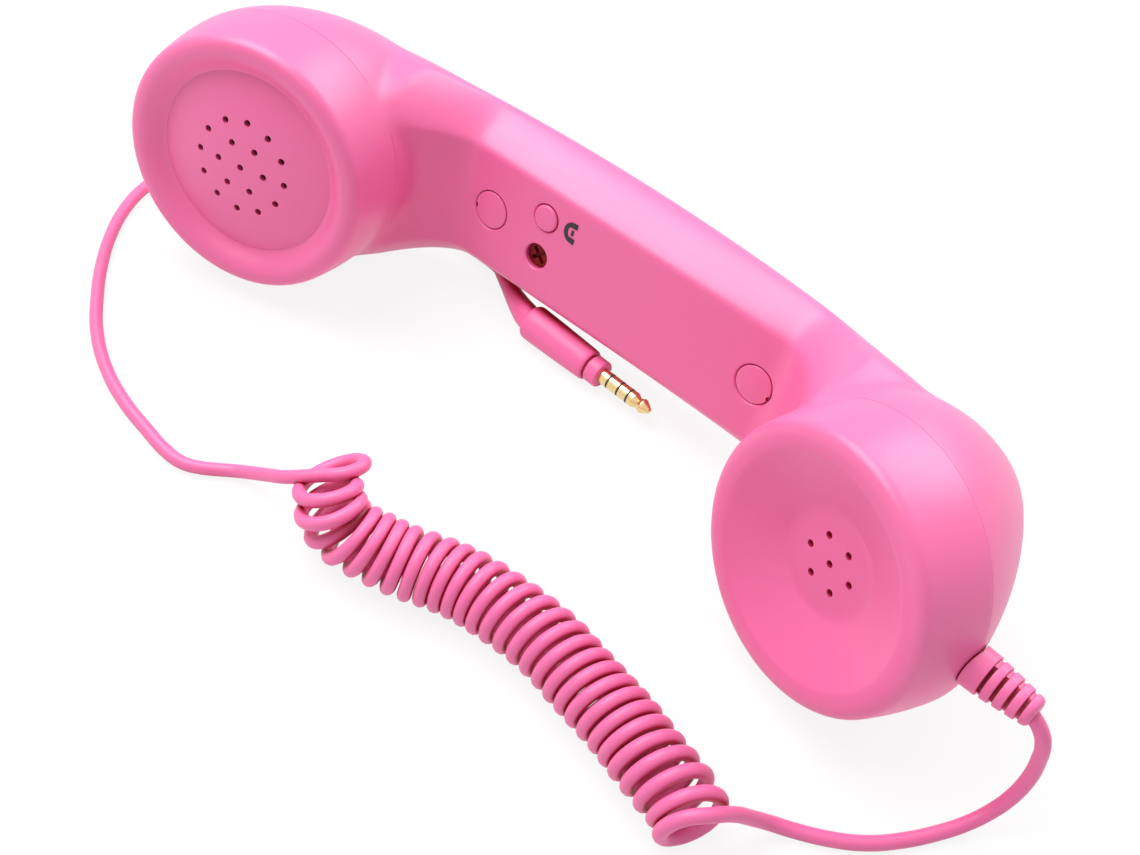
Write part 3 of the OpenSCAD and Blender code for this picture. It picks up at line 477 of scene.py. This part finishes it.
# Fine sparked grain of a mould, with a slightly cloudy colour and finish
moulded, g, wire = effect(
    "moulded_grain",
    [("Colour", "Color", (0.8, 0.8, 0.8, 1)), ("Cloud Colour", "Color", (0.7, 0.7, 0.7, 1)),
     ("Grain Size", "Float", 0.0004), ("Grain Height", "Float", 0.00001),
     ("Roughness", "Float", 0.45), ("Roughness Change", "Float", 0.06)],
    [("Colour", "Color"), ("Roughness", "Float"), ("Normal", "Vector")])
given, result = g.new("NodeGroupInput"), g.new("NodeGroupOutput")
where = g.new("ShaderNodeTexCoord")
per_size = node(g, "Math")
per_size.operation = "DIVIDE"
per_size.inputs[0].default_value = 1.0
wire.new(given.outputs["Grain Size"], per_size.inputs[1])
grain = node(g, "TexNoise", Detail=3.0, Roughness=0.6)
wire.new(where.outputs["Object"], grain.inputs["Vector"])
wire.new(per_size.outputs[0], grain.inputs["Scale"])
clouds = node(g, "TexNoise", Scale=55.0, Detail=4.0, Roughness=0.55)
wire.new(where.outputs["Object"], clouds.inputs["Vector"])
tint = node(g, "Mix")
tint.data_type = "RGBA"
wire.new(clouds.outputs["Fac"], tint.inputs["Factor"])
wire.new(given.outputs["Colour"], tint.inputs[6])
wire.new(given.outputs["Cloud Colour"], tint.inputs[7])
wire.new(tint.outputs[2], result.inputs["Colour"])
change = node(g, "Math")
change.operation = "MULTIPLY_ADD"
centred = node(g, "Math")
centred.operation = "SUBTRACT"
centred.inputs[1].default_value = 0.5
wire.new(clouds.outputs["Fac"], centred.inputs[0])
wire.new(centred.outputs[0], change.inputs[0])
wire.new(given.outputs["Roughness Change"], change.inputs[1])
wire.new(given.outputs["Roughness"], change.inputs[2])
wire.new(change.outputs[0], result.inputs["Roughness"])
bump = node(g, "Bump", Strength=1.0)
wire.new(grain.outputs["Fac"], bump.inputs["Height"])
wire.new(given.outputs["Grain Height"], bump.inputs["Distance"])
wire.new(bump.outputs["Normal"], result.inputs["Normal"])


# Painted shade: colour darkened to a deep crimson in narrow gaps, standing in for light passed from wall to
# wall many times
gap_shade_group, g, wire = effect(
    "painted_shade_in_gaps",
    [("Colour", "Color", (0.8, 0.8, 0.8, 1)), ("Shade Colour", "Color", (0.1, 0.0, 0.0, 1)),
     ("Reach", "Float", 0.003), ("From", "Float", 0.25), ("To", "Float", 0.75)],
    [("Colour", "Color")])
given, result = g.new("NodeGroupInput"), g.new("NodeGroupOutput")
hidden = g.new("ShaderNodeAmbientOcclusion")
hidden.samples = 8
wire.new(given.outputs["Reach"], hidden.inputs["Distance"])
openness = node(g, "MapRange")
openness.interpolation_type = "SMOOTHSTEP"
wire.new(hidden.outputs["AO"], openness.inputs["Value"])
wire.new(given.outputs["From"], openness.inputs["From Min"])
wire.new(given.outputs["To"], openness.inputs["From Max"])
shade_mix = node(g, "Mix")
shade_mix.data_type = "RGBA"
wire.new(openness.outputs["Result"], shade_mix.inputs["Factor"])
wire.new(given.outputs["Shade Colour"], shade_mix.inputs[6])
wire.new(given.outputs["Colour"], shade_mix.inputs[7])
wire.new(shade_mix.outputs[2], result.inputs["Colour"])


def paint_gap_shade(material, shade_colour, reach, low, high):
    """Paints shade into a moulded plastic's colour in its narrow gaps."""
    nodes, links = material.node_tree.nodes, material.node_tree.links
    shader = nodes["Principled BSDF"]
    group = nodes.new("ShaderNodeGroup")
    group.node_tree = gap_shade_group
    for label, value in (("Shade Colour", (*shade_colour, 1)), ("Reach", reach), ("From", low), ("To", high)):
        group.inputs[label].default_value = value
    links.new(shader.inputs["Base Color"].links[0].from_socket, group.inputs["Colour"])
    links.new(group.outputs["Colour"], shader.inputs["Base Color"])
    return material


def moulded_plastic(name, colour, cloud, grain_size, grain_height, roughness, change=0.06,
                    specular=0.5):
    """Plastic straight from a finely sparked mould."""
    material, nodes, links, shader = new_material(name)
    grained = nodes.new("ShaderNodeGroup")
    grained.node_tree = moulded
    for label, value in (("Colour", (*colour, 1)), ("Cloud Colour", (*cloud, 1)),
                         ("Grain Size", grain_size), ("Grain Height", grain_height),
                         ("Roughness", roughness), ("Roughness Change", change)):
        grained.inputs[label].default_value = value
    for label, socket in (("Colour", "Base Color"), ("Roughness", "Roughness"), ("Normal", "Normal")):
        links.new(grained.outputs[label], shader.inputs[socket])
    shader.inputs["Specular IOR Level"].default_value = specular
    return material


def dress(piece, material, smooth_angle=None):
    """Gives a piece one material, and smooth shading up to an angle."""
    piece.data.materials.clear()
    piece.data.materials.append(material)
    if smooth_angle is not None:
        piece.data.shade_smooth()
        piece.data.set_sharp_from_angle(angle=math.radians(smooth_angle))


case_pink = moulded_plastic("case_pink", (0.85, 0.150, 0.365), (0.83, 0.140, 0.350),
                            0.0005, 0.000004, 0.40, specular=0.65)
# Painted shade: deep crimson in the case's seams, holes and the corners of its dishes
paint_gap_shade(case_pink, (0.55, 0.01, 0.06), 0.004, 0.15, 0.7)
for half_case, cad_node in ((case, "front_shell"), (back, "back_shell")):
    dress(half_case, case_pink, 32)
    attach(half_case, "handset")
    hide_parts(cad_node)

# ---- Earpiece: grille, gasket, speaker --------------------------------------------------
# A shallow domed grille of the same pink plastic drops into the earpiece. Behind it a foam
# gasket, the pressed steel speaker with its paper cone and magnet, and a ring that holds it.


def finish_node(cad_node, material):
    """Gives a solid of the frame its own finish."""
    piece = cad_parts[cad_node]
    piece.data.materials.clear()
    piece.data.materials.append(material)


def dome_depth(r):
    return GRILLE_SINK - DOME_RISE * (1 - (r / GRILLE_R) ** 2)


GRILLE_THICK = 1.2
dome = [(r, dome_depth(r)) for r in np.linspace(0.5, 20.08, 24)]
under = [(r, dome_depth(r) + GRILLE_THICK) for r in np.linspace(16.9, 0.5, 12)]
grille = revolve("earpiece_grille", dome + [(20.09, LEDGE_DEPTH), (LEDGE_R, LEDGE_DEPTH)] + under,
                 CUP[EAR], 128)
carve(grille, ("DIFFERENCE", sound_holes(((1, 0), (6, 5.5), (12, 10.3)), CUP[EAR], -2, 6)))
dress(grille, case_pink, 32)
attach(grille, "handset")
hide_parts("ear_grille")

finish_node("ear_gasket", moulded_plastic("gasket_foam", (0.045, 0.045, 0.05), (0.07, 0.07, 0.07),
                                          0.0006, 0.0001, 0.95, specular=0.2))
finish_node("speaker_cone", moulded_plastic("cone_paper", (0.06, 0.058, 0.055), (0.03, 0.03, 0.03),
                                            0.0009, 0.00003, 0.85, specular=0.25))
finish_node("speaker_retainer", moulded_plastic("white_nylon", (0.80, 0.79, 0.76), (0.74, 0.73, 0.70),
                                                0.0005, 0.00001, 0.45))

# Rolled or drawn metal: fine lines along one direction over a soft mottle
drawn, g, wire = effect(
    "drawn_lines",
    [("Colour", "Color", (0.6, 0.6, 0.6, 1)), ("Dull Colour", "Color", (0.4, 0.4, 0.4, 1)),
     ("Roughness", "Float", 0.35), ("Line Height", "Float", 0.000004)],
    [("Colour", "Color"), ("Roughness", "Float"), ("Normal", "Vector")])
given, result = g.new("NodeGroupInput"), g.new("NodeGroupOutput")
where = g.new("ShaderNodeTexCoord")
stretch = node(g, "Mapping", Scale=(900.0, 9000.0, 9000.0))
wire.new(where.outputs["Object"], stretch.inputs["Vector"])
lines = node(g, "TexNoise", Scale=1.0, Detail=2.0)
wire.new(stretch.outputs["Vector"], lines.inputs["Vector"])
mottle = node(g, "TexNoise", Scale=260.0, Detail=5.0)
wire.new(where.outputs["Object"], mottle.inputs["Vector"])
tint = node(g, "Mix")
tint.data_type = "RGBA"
wire.new(mottle.outputs["Fac"], tint.inputs["Factor"])
wire.new(given.outputs["Colour"], tint.inputs[6])
wire.new(given.outputs["Dull Colour"], tint.inputs[7])
wire.new(tint.outputs[2], result.inputs["Colour"])
change = node(g, "Math")
change.operation = "MULTIPLY_ADD"
change.inputs[1].default_value = 0.25
wire.new(lines.outputs["Fac"], change.inputs[0])
wire.new(given.outputs["Roughness"], change.inputs[2])
wire.new(change.outputs[0], result.inputs["Roughness"])
bump = node(g, "Bump", Strength=1.0)
wire.new(lines.outputs["Fac"], bump.inputs["Height"])
wire.new(given.outputs["Line Height"], bump.inputs["Distance"])
wire.new(bump.outputs["Normal"], result.inputs["Normal"])


def drawn_metal(name, colour, dull, roughness, line_height=0.000004):
    """Bare or plated metal with the marks of its drawing or turning."""
    material, nodes, links, shader = new_material(name)
    lined = nodes.new("ShaderNodeGroup")
    lined.node_tree = drawn
    for label, value in (("Colour", (*colour, 1)), ("Dull Colour", (*dull, 1)),
                         ("Roughness", roughness), ("Line Height", line_height)):
        lined.inputs[label].default_value = value
    for label, socket in (("Colour", "Base Color"), ("Roughness", "Roughness"), ("Normal", "Normal")):
        links.new(lined.outputs[label], shader.inputs[socket])
    shader.inputs["Metallic"].default_value = 1.0
    return material


zinc = drawn_metal("zinc_plate", (0.66, 0.67, 0.68), (0.52, 0.53, 0.55), 0.22)
dark_iron = drawn_metal("phosphated_iron", (0.20, 0.20, 0.21), (0.13, 0.13, 0.14), 0.42)
finish_node("speaker_frame", zinc)
finish_node("speaker_magnet", dark_iron)

# ---- Mouthpiece: microphone and ballast -------------------------------------------------
# A small electret capsule sits in a rubber boot behind the holes of the dish, and an iron
# ring on three posts gives the light handset the weight that people expect.

rubber_black = moulded_plastic("boot_rubber", (0.035, 0.035, 0.037), (0.05, 0.05, 0.05),
                               0.0008, 0.00002, 0.75, specular=0.3)
finish_node("microphone_boot", rubber_black)
finish_node("microphone_capsule", zinc)
finish_node("ballast_ring", dark_iron)

# ---- Circuit board, switch and wires ----------------------------------------------------
# A short board stands on two posts in the handle and carries the call switch, the volume
# trimmer and an amplifier chip. Thin red wires and the cord's end are soldered to it.

finish_node("circuit_board", moulded_plastic("green_laminate", (0.03, 0.20, 0.075),
                                             (0.05, 0.26, 0.10), 0.0007, 0.000012, 0.35))
black_resin = moulded_plastic("black_resin", (0.025, 0.025, 0.027), (0.035, 0.035, 0.036),
                              0.0004, 0.000008, 0.5)
white_resin = moulded_plastic("white_resin", (0.78, 0.77, 0.73), (0.72, 0.71, 0.67),
                              0.0004, 0.000006, 0.4)
wire_sleeve = moulded_plastic("wire_sleeve", (0.50, 0.022, 0.02), (0.42, 0.018, 0.016),
                              0.0006, 0.000008, 0.4)
for cad_node, material in (("board_chip", black_resin), ("tact_switch", black_resin),
                           ("switch_plunger", white_resin), ("trimmer_body", white_resin),
                           ("speaker_wires", wire_sleeve), ("microphone_wires", wire_sleeve),
                           ("board_screw_ear_end", zinc), ("board_screw_mouth_end", zinc),
                           ("screw_ear_end", zinc), ("screw_mouth_end", zinc)):
    finish_node(cad_node, material)

# ---- Screw caps -------------------------------------------------------------------------
# Two thin discs of the case's plastic hide the case screws. Each is pressed into a well and
# has a tiny notch in its rim, so that it can be prised out.

for name, x, turn in (("ear", CAP_X[0], 170), ("mouth", CAP_X[1], 15)):
    place = on_face(x, 0)
    cap = revolve("screw_cap_" + name + "_end",
                  [(3.9, FACE_Y), (4.05, FACE_Y + 0.03), (4.2, FACE_Y + 0.15), (4.26, FACE_Y + 0.4),
                   (4.26, FACE_Y + 1.55)], place, 96)
    notch = rod("notch", place @ Matrix.Rotation(math.radians(turn), 4, "Z")
                @ Matrix.Translation((4.2, 0, 0)), 0.6, FACE_Y - 1, FACE_Y + 0.7, 24)
    carve(cap, ("DIFFERENCE", notch))
    dress(cap, case_pink, 40)
    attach(cap, "handset")
    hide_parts("cap_" + name + "_end")

# ---- Call button, printed sign and volume trimmer ---------------------------------------
# The call button is a pink pip that stands just proud of the handle and presses a switch on
# the board. Beside it a small handset is pad-printed in black ink. The volume trimmer turns
# with a screwdriver in a hole of its own; its very dark red rotor paints the hole's shade.

button = revolve("call_button_pip",
                 [(2.2, FACE_Y - 0.42), (2.5, FACE_Y - 0.40), (2.72, FACE_Y - 0.33),
                  (2.88, FACE_Y - 0.18), (2.96, FACE_Y + 0.05), (2.98, FACE_Y + 0.4),
                  (2.98, 39.8), (3.9, 39.8), (3.9, 40.5)], on_face(*BUTTON_AT), 96)
dress(button, case_pink, 40)
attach(button, "button")
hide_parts("call_button")

BOW_X, BOW_R, BOW_INNER_R, SIGN_SCALE, INK_THICK = 0.8, 2.15, 1.35, 1.15, 0.15
bow = [(BOW_X + BOW_R * math.cos(a), BOW_R * math.sin(a)) for a in np.radians(np.linspace(115, 245, 21))]
bow += [(1.25, -2.15), (1.35, -2.05), (1.35, -1.15), (1.25, -1.05), (0.25, -1.05)]
bow += [(BOW_X + BOW_INNER_R * math.cos(a), BOW_INNER_R * math.sin(a))
        for a in np.radians(np.linspace(230, 130, 17))]
bow += [(0.25, 1.05), (1.25, 1.05), (1.35, 1.15), (1.35, 2.05), (1.25, 2.15)]
sign = loft("call_sign", [[(SIGN_SCALE * x, SIGN_SCALE * y - 0.4, z) for x, y in bow]
                          for z in (FACE_Y - INK_THICK, FACE_Y)], on_face(*SIGN_AT))
bars = loft("bars", [[(x, y, z) for x, y in ((0.4, -1.0), (0.95, -1.0), (0.95, 0.2), (0.4, 0.2))]
                     for z in (FACE_Y - INK_THICK, FACE_Y)], on_face(*SIGN_AT))
carve(sign, ("UNION", bars))
dress(sign, moulded_plastic("printed_ink", (0.012, 0.011, 0.012), (0.02, 0.018, 0.02),
                            0.0003, 0.000003, 0.4))
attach(sign, "handset")
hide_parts("call_mark")
# Painted shade: the rotor's very dark red stands in for the shade deep in its hole
finish_node("trimmer_rotor", moulded_plastic("rotor_painted_shade", (0.22, 0.002, 0.006),
                                             (0.17, 0.002, 0.004), 0.0004, 0.000008, 0.5,
                                             specular=0.2))

# ---- Strain relief ----------------------------------------------------------------------
# A soft vinyl sleeve of five collars that taper towards the cord. Its flange is caught in
# the wall of the mouthpiece, and the slots between the collars let it bend.

vinyl_pink = moulded_plastic("cord_vinyl", (0.85, 0.155, 0.375), (0.83, 0.145, 0.355),
                             0.0006, 0.00001, 0.45, specular=0.5)
# Painted shade: deep crimson between the turns of the coil and between the collars
paint_gap_shade(vinyl_pink, (0.42, 0.003, 0.02), 0.0035, 0.25, 0.8)
FIRST_COLLAR, COLLAR_PITCH, COLLAR_SLOT = 2.9, 2.4, 0.7
COLLARS, FIRST_R, LAST_R = 5, 4.15, 3.05
relief, slots = [(3.3, -2.5)], []
for i in range(COLLARS):
    r = FIRST_R + i / (COLLARS - 1) * (LAST_R - FIRST_R)
    z0 = -1.8 if i == 0 else FIRST_COLLAR + COLLAR_SLOT + (i - 1) * COLLAR_PITCH
    z1 = FIRST_COLLAR + i * COLLAR_PITCH
    relief += [(r - 0.45, z0), (r - 0.22, z0 + 0.01), (r - 0.06, z0 + 0.08), (r, z0 + 0.24)]
    if i < COLLARS - 1:
        relief += [(r - 0.1, z1 - 0.24), (r - 0.16, z1 - 0.08), (r - 0.32, z1 - 0.01), (r - 0.6, z1)]
        slots.append((r - 0.6, z1))
relief += [(r - 0.08, z1 - 0.9), (r - 0.2, z1 - 0.5), (r - 0.5, z1 - 0.18), (r - 0.95, z1), (1.4, z1)]
sleeve = revolve("strain_relief_sleeve", relief, relief_place, 96)

# Each slot is cut deep from two sides and leaves a web between them
for r, z in slots:
    for turn in (-114, 66):
        corner = [(1.85, -0.76 * r), (6, -0.76 * r), (6, 0.76 * r), (1.85, 0.76 * r)]
        slit = loft("slit", [[(x, y, z + h) for x, y in corner] for h in (0.03, COLLAR_SLOT - 0.03)],
                    relief_place @ Matrix.Rotation(math.radians(turn), 4, "Z"))
        carve(sleeve, ("DIFFERENCE", slit))
carve(sleeve, ("DIFFERENCE", cup_form(MOUTH, 0.35)),
      ("UNION", revolve("root", [(4.9, -5.5), (4.9, -3.75), (3.4, -3.75), (3.4, 1.5)], relief_place, 96)))
dress(sleeve, vinyl_pink, 35)
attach(sleeve, "handset")
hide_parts("strain_relief")
finish_node("cord_tail", vinyl_pink)

# ---- Curly cord -------------------------------------------------------------------------
# One length of round vinyl cord, 2.8 mm thick: a straight lead from the handset, a coil set
# by heat on a mandrel, and a second lead that runs round behind the earpiece to the plug.

CORD_R, COIL_R, FIRST_ANGLE = 1.4, 5.85, 120
mouth_lead = [(104.5, -18.0, 29.9), (107.6, -18.3, 29.8), (110.6, -18.6, 29.1), (113.0, -18.6, 27.1),
              (114.5, -18.3, 24.0), (115.3, -17.9, 19.5), (115.7, -18.2, 14), (115.1, -19.8, 8.5),
              (113.7, -22, 4.5), (111.6, -25.4, 2.1), (108.8, -30, 1.45), (104.8, -35.8, 1.4),
              (100.4, -40.7, 1.4), (95.2, -44.6, 1.4), (89.2, -48, 1.6), (86.1, -50.3, 3),
              (83.7, -53.4, 5.9), (81.7, -57, 9.6)]
# A turn's number, its centre, and the heading and dip of its axis in degrees
coil_turns = [(1, -19.2, -51.5, 10.7, -14, -60), (2, -15.5, -57.8, 11.1, -13, -55),
              (3, -11.9, -60.1, 10.2, 1, -53), (4, -10.9, -59.2, 5.8, 14, -41),
              (5, -5.9, -60.1, 7.3, 20, -28), (6, -2.1, -59.3, 7.4, 24, -19),
              (7, 1.2, -58.5, 7.3, 27, -14), (8, 4.4, -57.6, 7.25, 28, -8),
              (10, 10.8, -55.1, 7.25, 19, -1), (12, 16.7, -53.3, 7.25, 14, 0),
              (14, 23.4, -52.4, 7.25, 3, 0), (16, 30.6, -52, 7.25, -5, 0),
              (18, 37.8, -52.3, 7.25, -10, 0), (20, 44.6, -53.6, 7.25, -12, 0),
              (22, 51, -54.7, 7.25, -15, 0), (24, 57.3, -55.9, 7.25, -15, 0),
              (26, 63.5, -57.6, 7.25, -19, 0), (28, 70.7, -59.3, 7.25, -21, 0),
              (29, 74.4, -60.3, 7.2, -24, -4), (29.5, 76.5, -61.7, 7.2, -31, -5),
              (30, 77.9, -62.4, 7.2, -38, -5)]
plug_lead = [(-24.3, -60.4, 9.3), (-28.6, -60.7, 6.4), (-32.9, -61.1, 3.7), (-36.3, -61.9, 2),
             (-38.8, -63.3, 1.4), (-42.8, -66.5, 1.4), (-46, -68.1, 1.4), (-50.2, -68.5, 1.4),
             (-58.2, -67.5, 1.4), (-66.7, -66, 1.4), (-76.2, -63, 1.4), (-86.7, -57.5, 1.4),
             (-95.7, -50.5, 1.4), (-103.2, -43.5, 1.4), (-109.7, -36, 1.4), (-115.2, -27.5, 1.4),
             (-118.2, -19.5, 1.4), (-119.2, -10, 1.4), (-117.2, 0.5, 1.4), (-110.2, 10.5, 1.4),
             (-99.2, 18.5, 1.4), (-86.2, 22.5, 1.4), (-72.2, 24, 1.4), (-58.2, 23.5, 1.4),
             (-49.2, 22.5, 1.4), (-41.5, 21.5, 1.6), (-36.5, 18.7, 2)]


def smooth_line(points, per):
    """A smooth curve through points, with per steps on each stretch."""
    p = [np.array(q, float) for q in points]
    p = [2 * p[0] - p[1]] + p + [2 * p[-1] - p[-2]]
    line = []
    for a, b, c, d in zip(p, p[1:], p[2:], p[3:]):
        for t in np.arange(per) / per:
            line.append(0.5 * (2 * b + (c - a) * t + (2 * a - 5 * b + 4 * c - d) * t * t
                               + (3 * b - a - 3 * c + d) * t ** 3))
    return np.array(line + [p[-2]])


def coil_points(turns, radius, first, last, per_turn):
    """A left-handed coil whose turns have the places and leans given, each with a smooth way on."""
    at = np.array([t[0] for t in turns], float)
    given = np.array([t[1:] for t in turns], float)
    slope = np.gradient(given, at, axis=0)
    points = []
    for turn in np.linspace(first, last, round((last - first) * per_turn) + 1):
        i = min(max(int(np.searchsorted(at, turn)) - 1, 0), len(at) - 2)
        h = at[i + 1] - at[i]
        u = min(max((turn - at[i]) / h, 0), 1)
        now = ((2 * u ** 3 - 3 * u * u + 1) * given[i] + (3 * u * u - 2 * u ** 3) * given[i + 1]
               + h * ((u ** 3 - 2 * u * u + u) * slope[i] + (u ** 3 - u * u) * slope[i + 1]))
        # Turns before the first and after the last go straight on
        now = now + slope[i + (u == 1)] * (turn - at[i] - u * h)
        heading, dip = np.radians(now[3:])
        ahead = np.array([math.cos(heading) * math.cos(dip), math.sin(heading) * math.cos(dip),
                          math.sin(dip)])
        across = np.array([-math.sin(heading), math.cos(heading), 0])
        angle = math.radians(FIRST_ANGLE) - 2 * math.pi * (turn - 1)
        points.append(now[:3] + radius * (math.cos(angle) * across
                                          + math.sin(angle) * np.cross(ahead, across)))
    return points


coil = coil_points(coil_turns, COIL_R, 0.95, 30.1, 15)
route = [tuple(float(v) * MM for v in p) for p in mouth_lead + coil[::-1] + plug_lead]
cord_curve = bpy.data.curves.new("curly_cord", "CURVE")
cord_curve.dimensions = "3D"
cord_curve.bevel_depth = CORD_R * MM
cord_curve.bevel_resolution = 4
cord_curve.resolution_u = 4
spline = cord_curve.splines.new("BEZIER")
spline.bezier_points.add(len(route) - 1)
for point, place in zip(spline.bezier_points, route):
    point.co = place
    point.handle_left_type = point.handle_right_type = "AUTO"
cord = bpy.data.objects.new("curly_cord", cord_curve)
scene.collection.objects.link(cord)
cord_curve.materials.append(vinyl_pink)
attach(cord, "handset")
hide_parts("cord_lead_mouth", "cord_coil", "cord_lead_plug")

# ---- Jack plug --------------------------------------------------------------------------
# The grip and its flexible neck are moulded over the cord in the same vinyl. The turned
# brass shaft is gilded, and three black rings part its sleeve, two rings and tip.

PLUG = (Matrix.Translation((-24.1 * MM, 12 * MM, 4.1 * MM)) @ Matrix.Rotation(math.radians(-3.5), 4, "Z")
        @ Matrix.Rotation(math.radians(90), 4, "Y") @ Matrix.Scale(MM, 4))
grip_profile = [(2.6, -0.6), (3.1, -0.1), (3.5, 0.12), (3.8, 0.3), (4.02, 0.62), (4.12, 1.0), (4.15, 1.5),
                (4.1, 4), (4.0, 8), (3.85, 13), (3.7, 17), (3.62, 18.0), (3.45, 18.35), (3.2, 18.5),
                (2.6, 18.5), (2.6, 18.95), (2.95, 19.0), (3.12, 19.15), (3.15, 19.5), (3.15, 21.6),
                (3.1, 21.95), (2.9, 22.15), (2.6, 22.2)]
grip = revolve("plug_grip", grip_profile, PLUG, 96)
neck_line = smooth_line([(-22.8, 11.6, 4.1), (-26.5, 13, 3.8), (-31.2, 15.6, 2.8), (-36.5, 18.7, 2),
                         (-41.5, 21.5, 1.6)], 8)
neck_r = np.interp(np.linspace(0, 1, len(neck_line)), [0, 0.25, 0.5, 0.75, 1], [3, 2.9, 2.4, 1.9, 1.55])
neck_rings = []
for i, (p, r) in enumerate(zip(neck_line, neck_r)):
    t = neck_line[min(i + 1, len(neck_line) - 1)] - neck_line[max(i - 1, 0)]
    t /= np.linalg.norm(t)
    u = np.cross(t, (0, 0, 1))
    u /= np.linalg.norm(u)
    v = np.cross(u, t)
    neck_rings.append([p + r * (math.cos(a) * u + math.sin(a) * v)
                       for a in 2 * math.pi * np.arange(32) / 32])
carve(grip, ("UNION", loft("neck", neck_rings, Matrix.Scale(MM, 4))))
dress(grip, vinyl_pink, 35)
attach(grip, "handset")
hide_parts("plug_body")

gilt = drawn_metal("gilded_brass", (0.90, 0.72, 0.36), (0.78, 0.60, 0.28), 0.12, 0.000002)
for cad_node in ("plug_sleeve", "plug_ring_back", "plug_ring_front", "plug_tip"):
    finish_node(cad_node, gilt)
finish_node("plug_insulators", black_resin)

# ---- Last update ------------------------------------------------------------------------
# The view layer is brought up to date with the finished pieces.

bpy.context.view_layer.update()
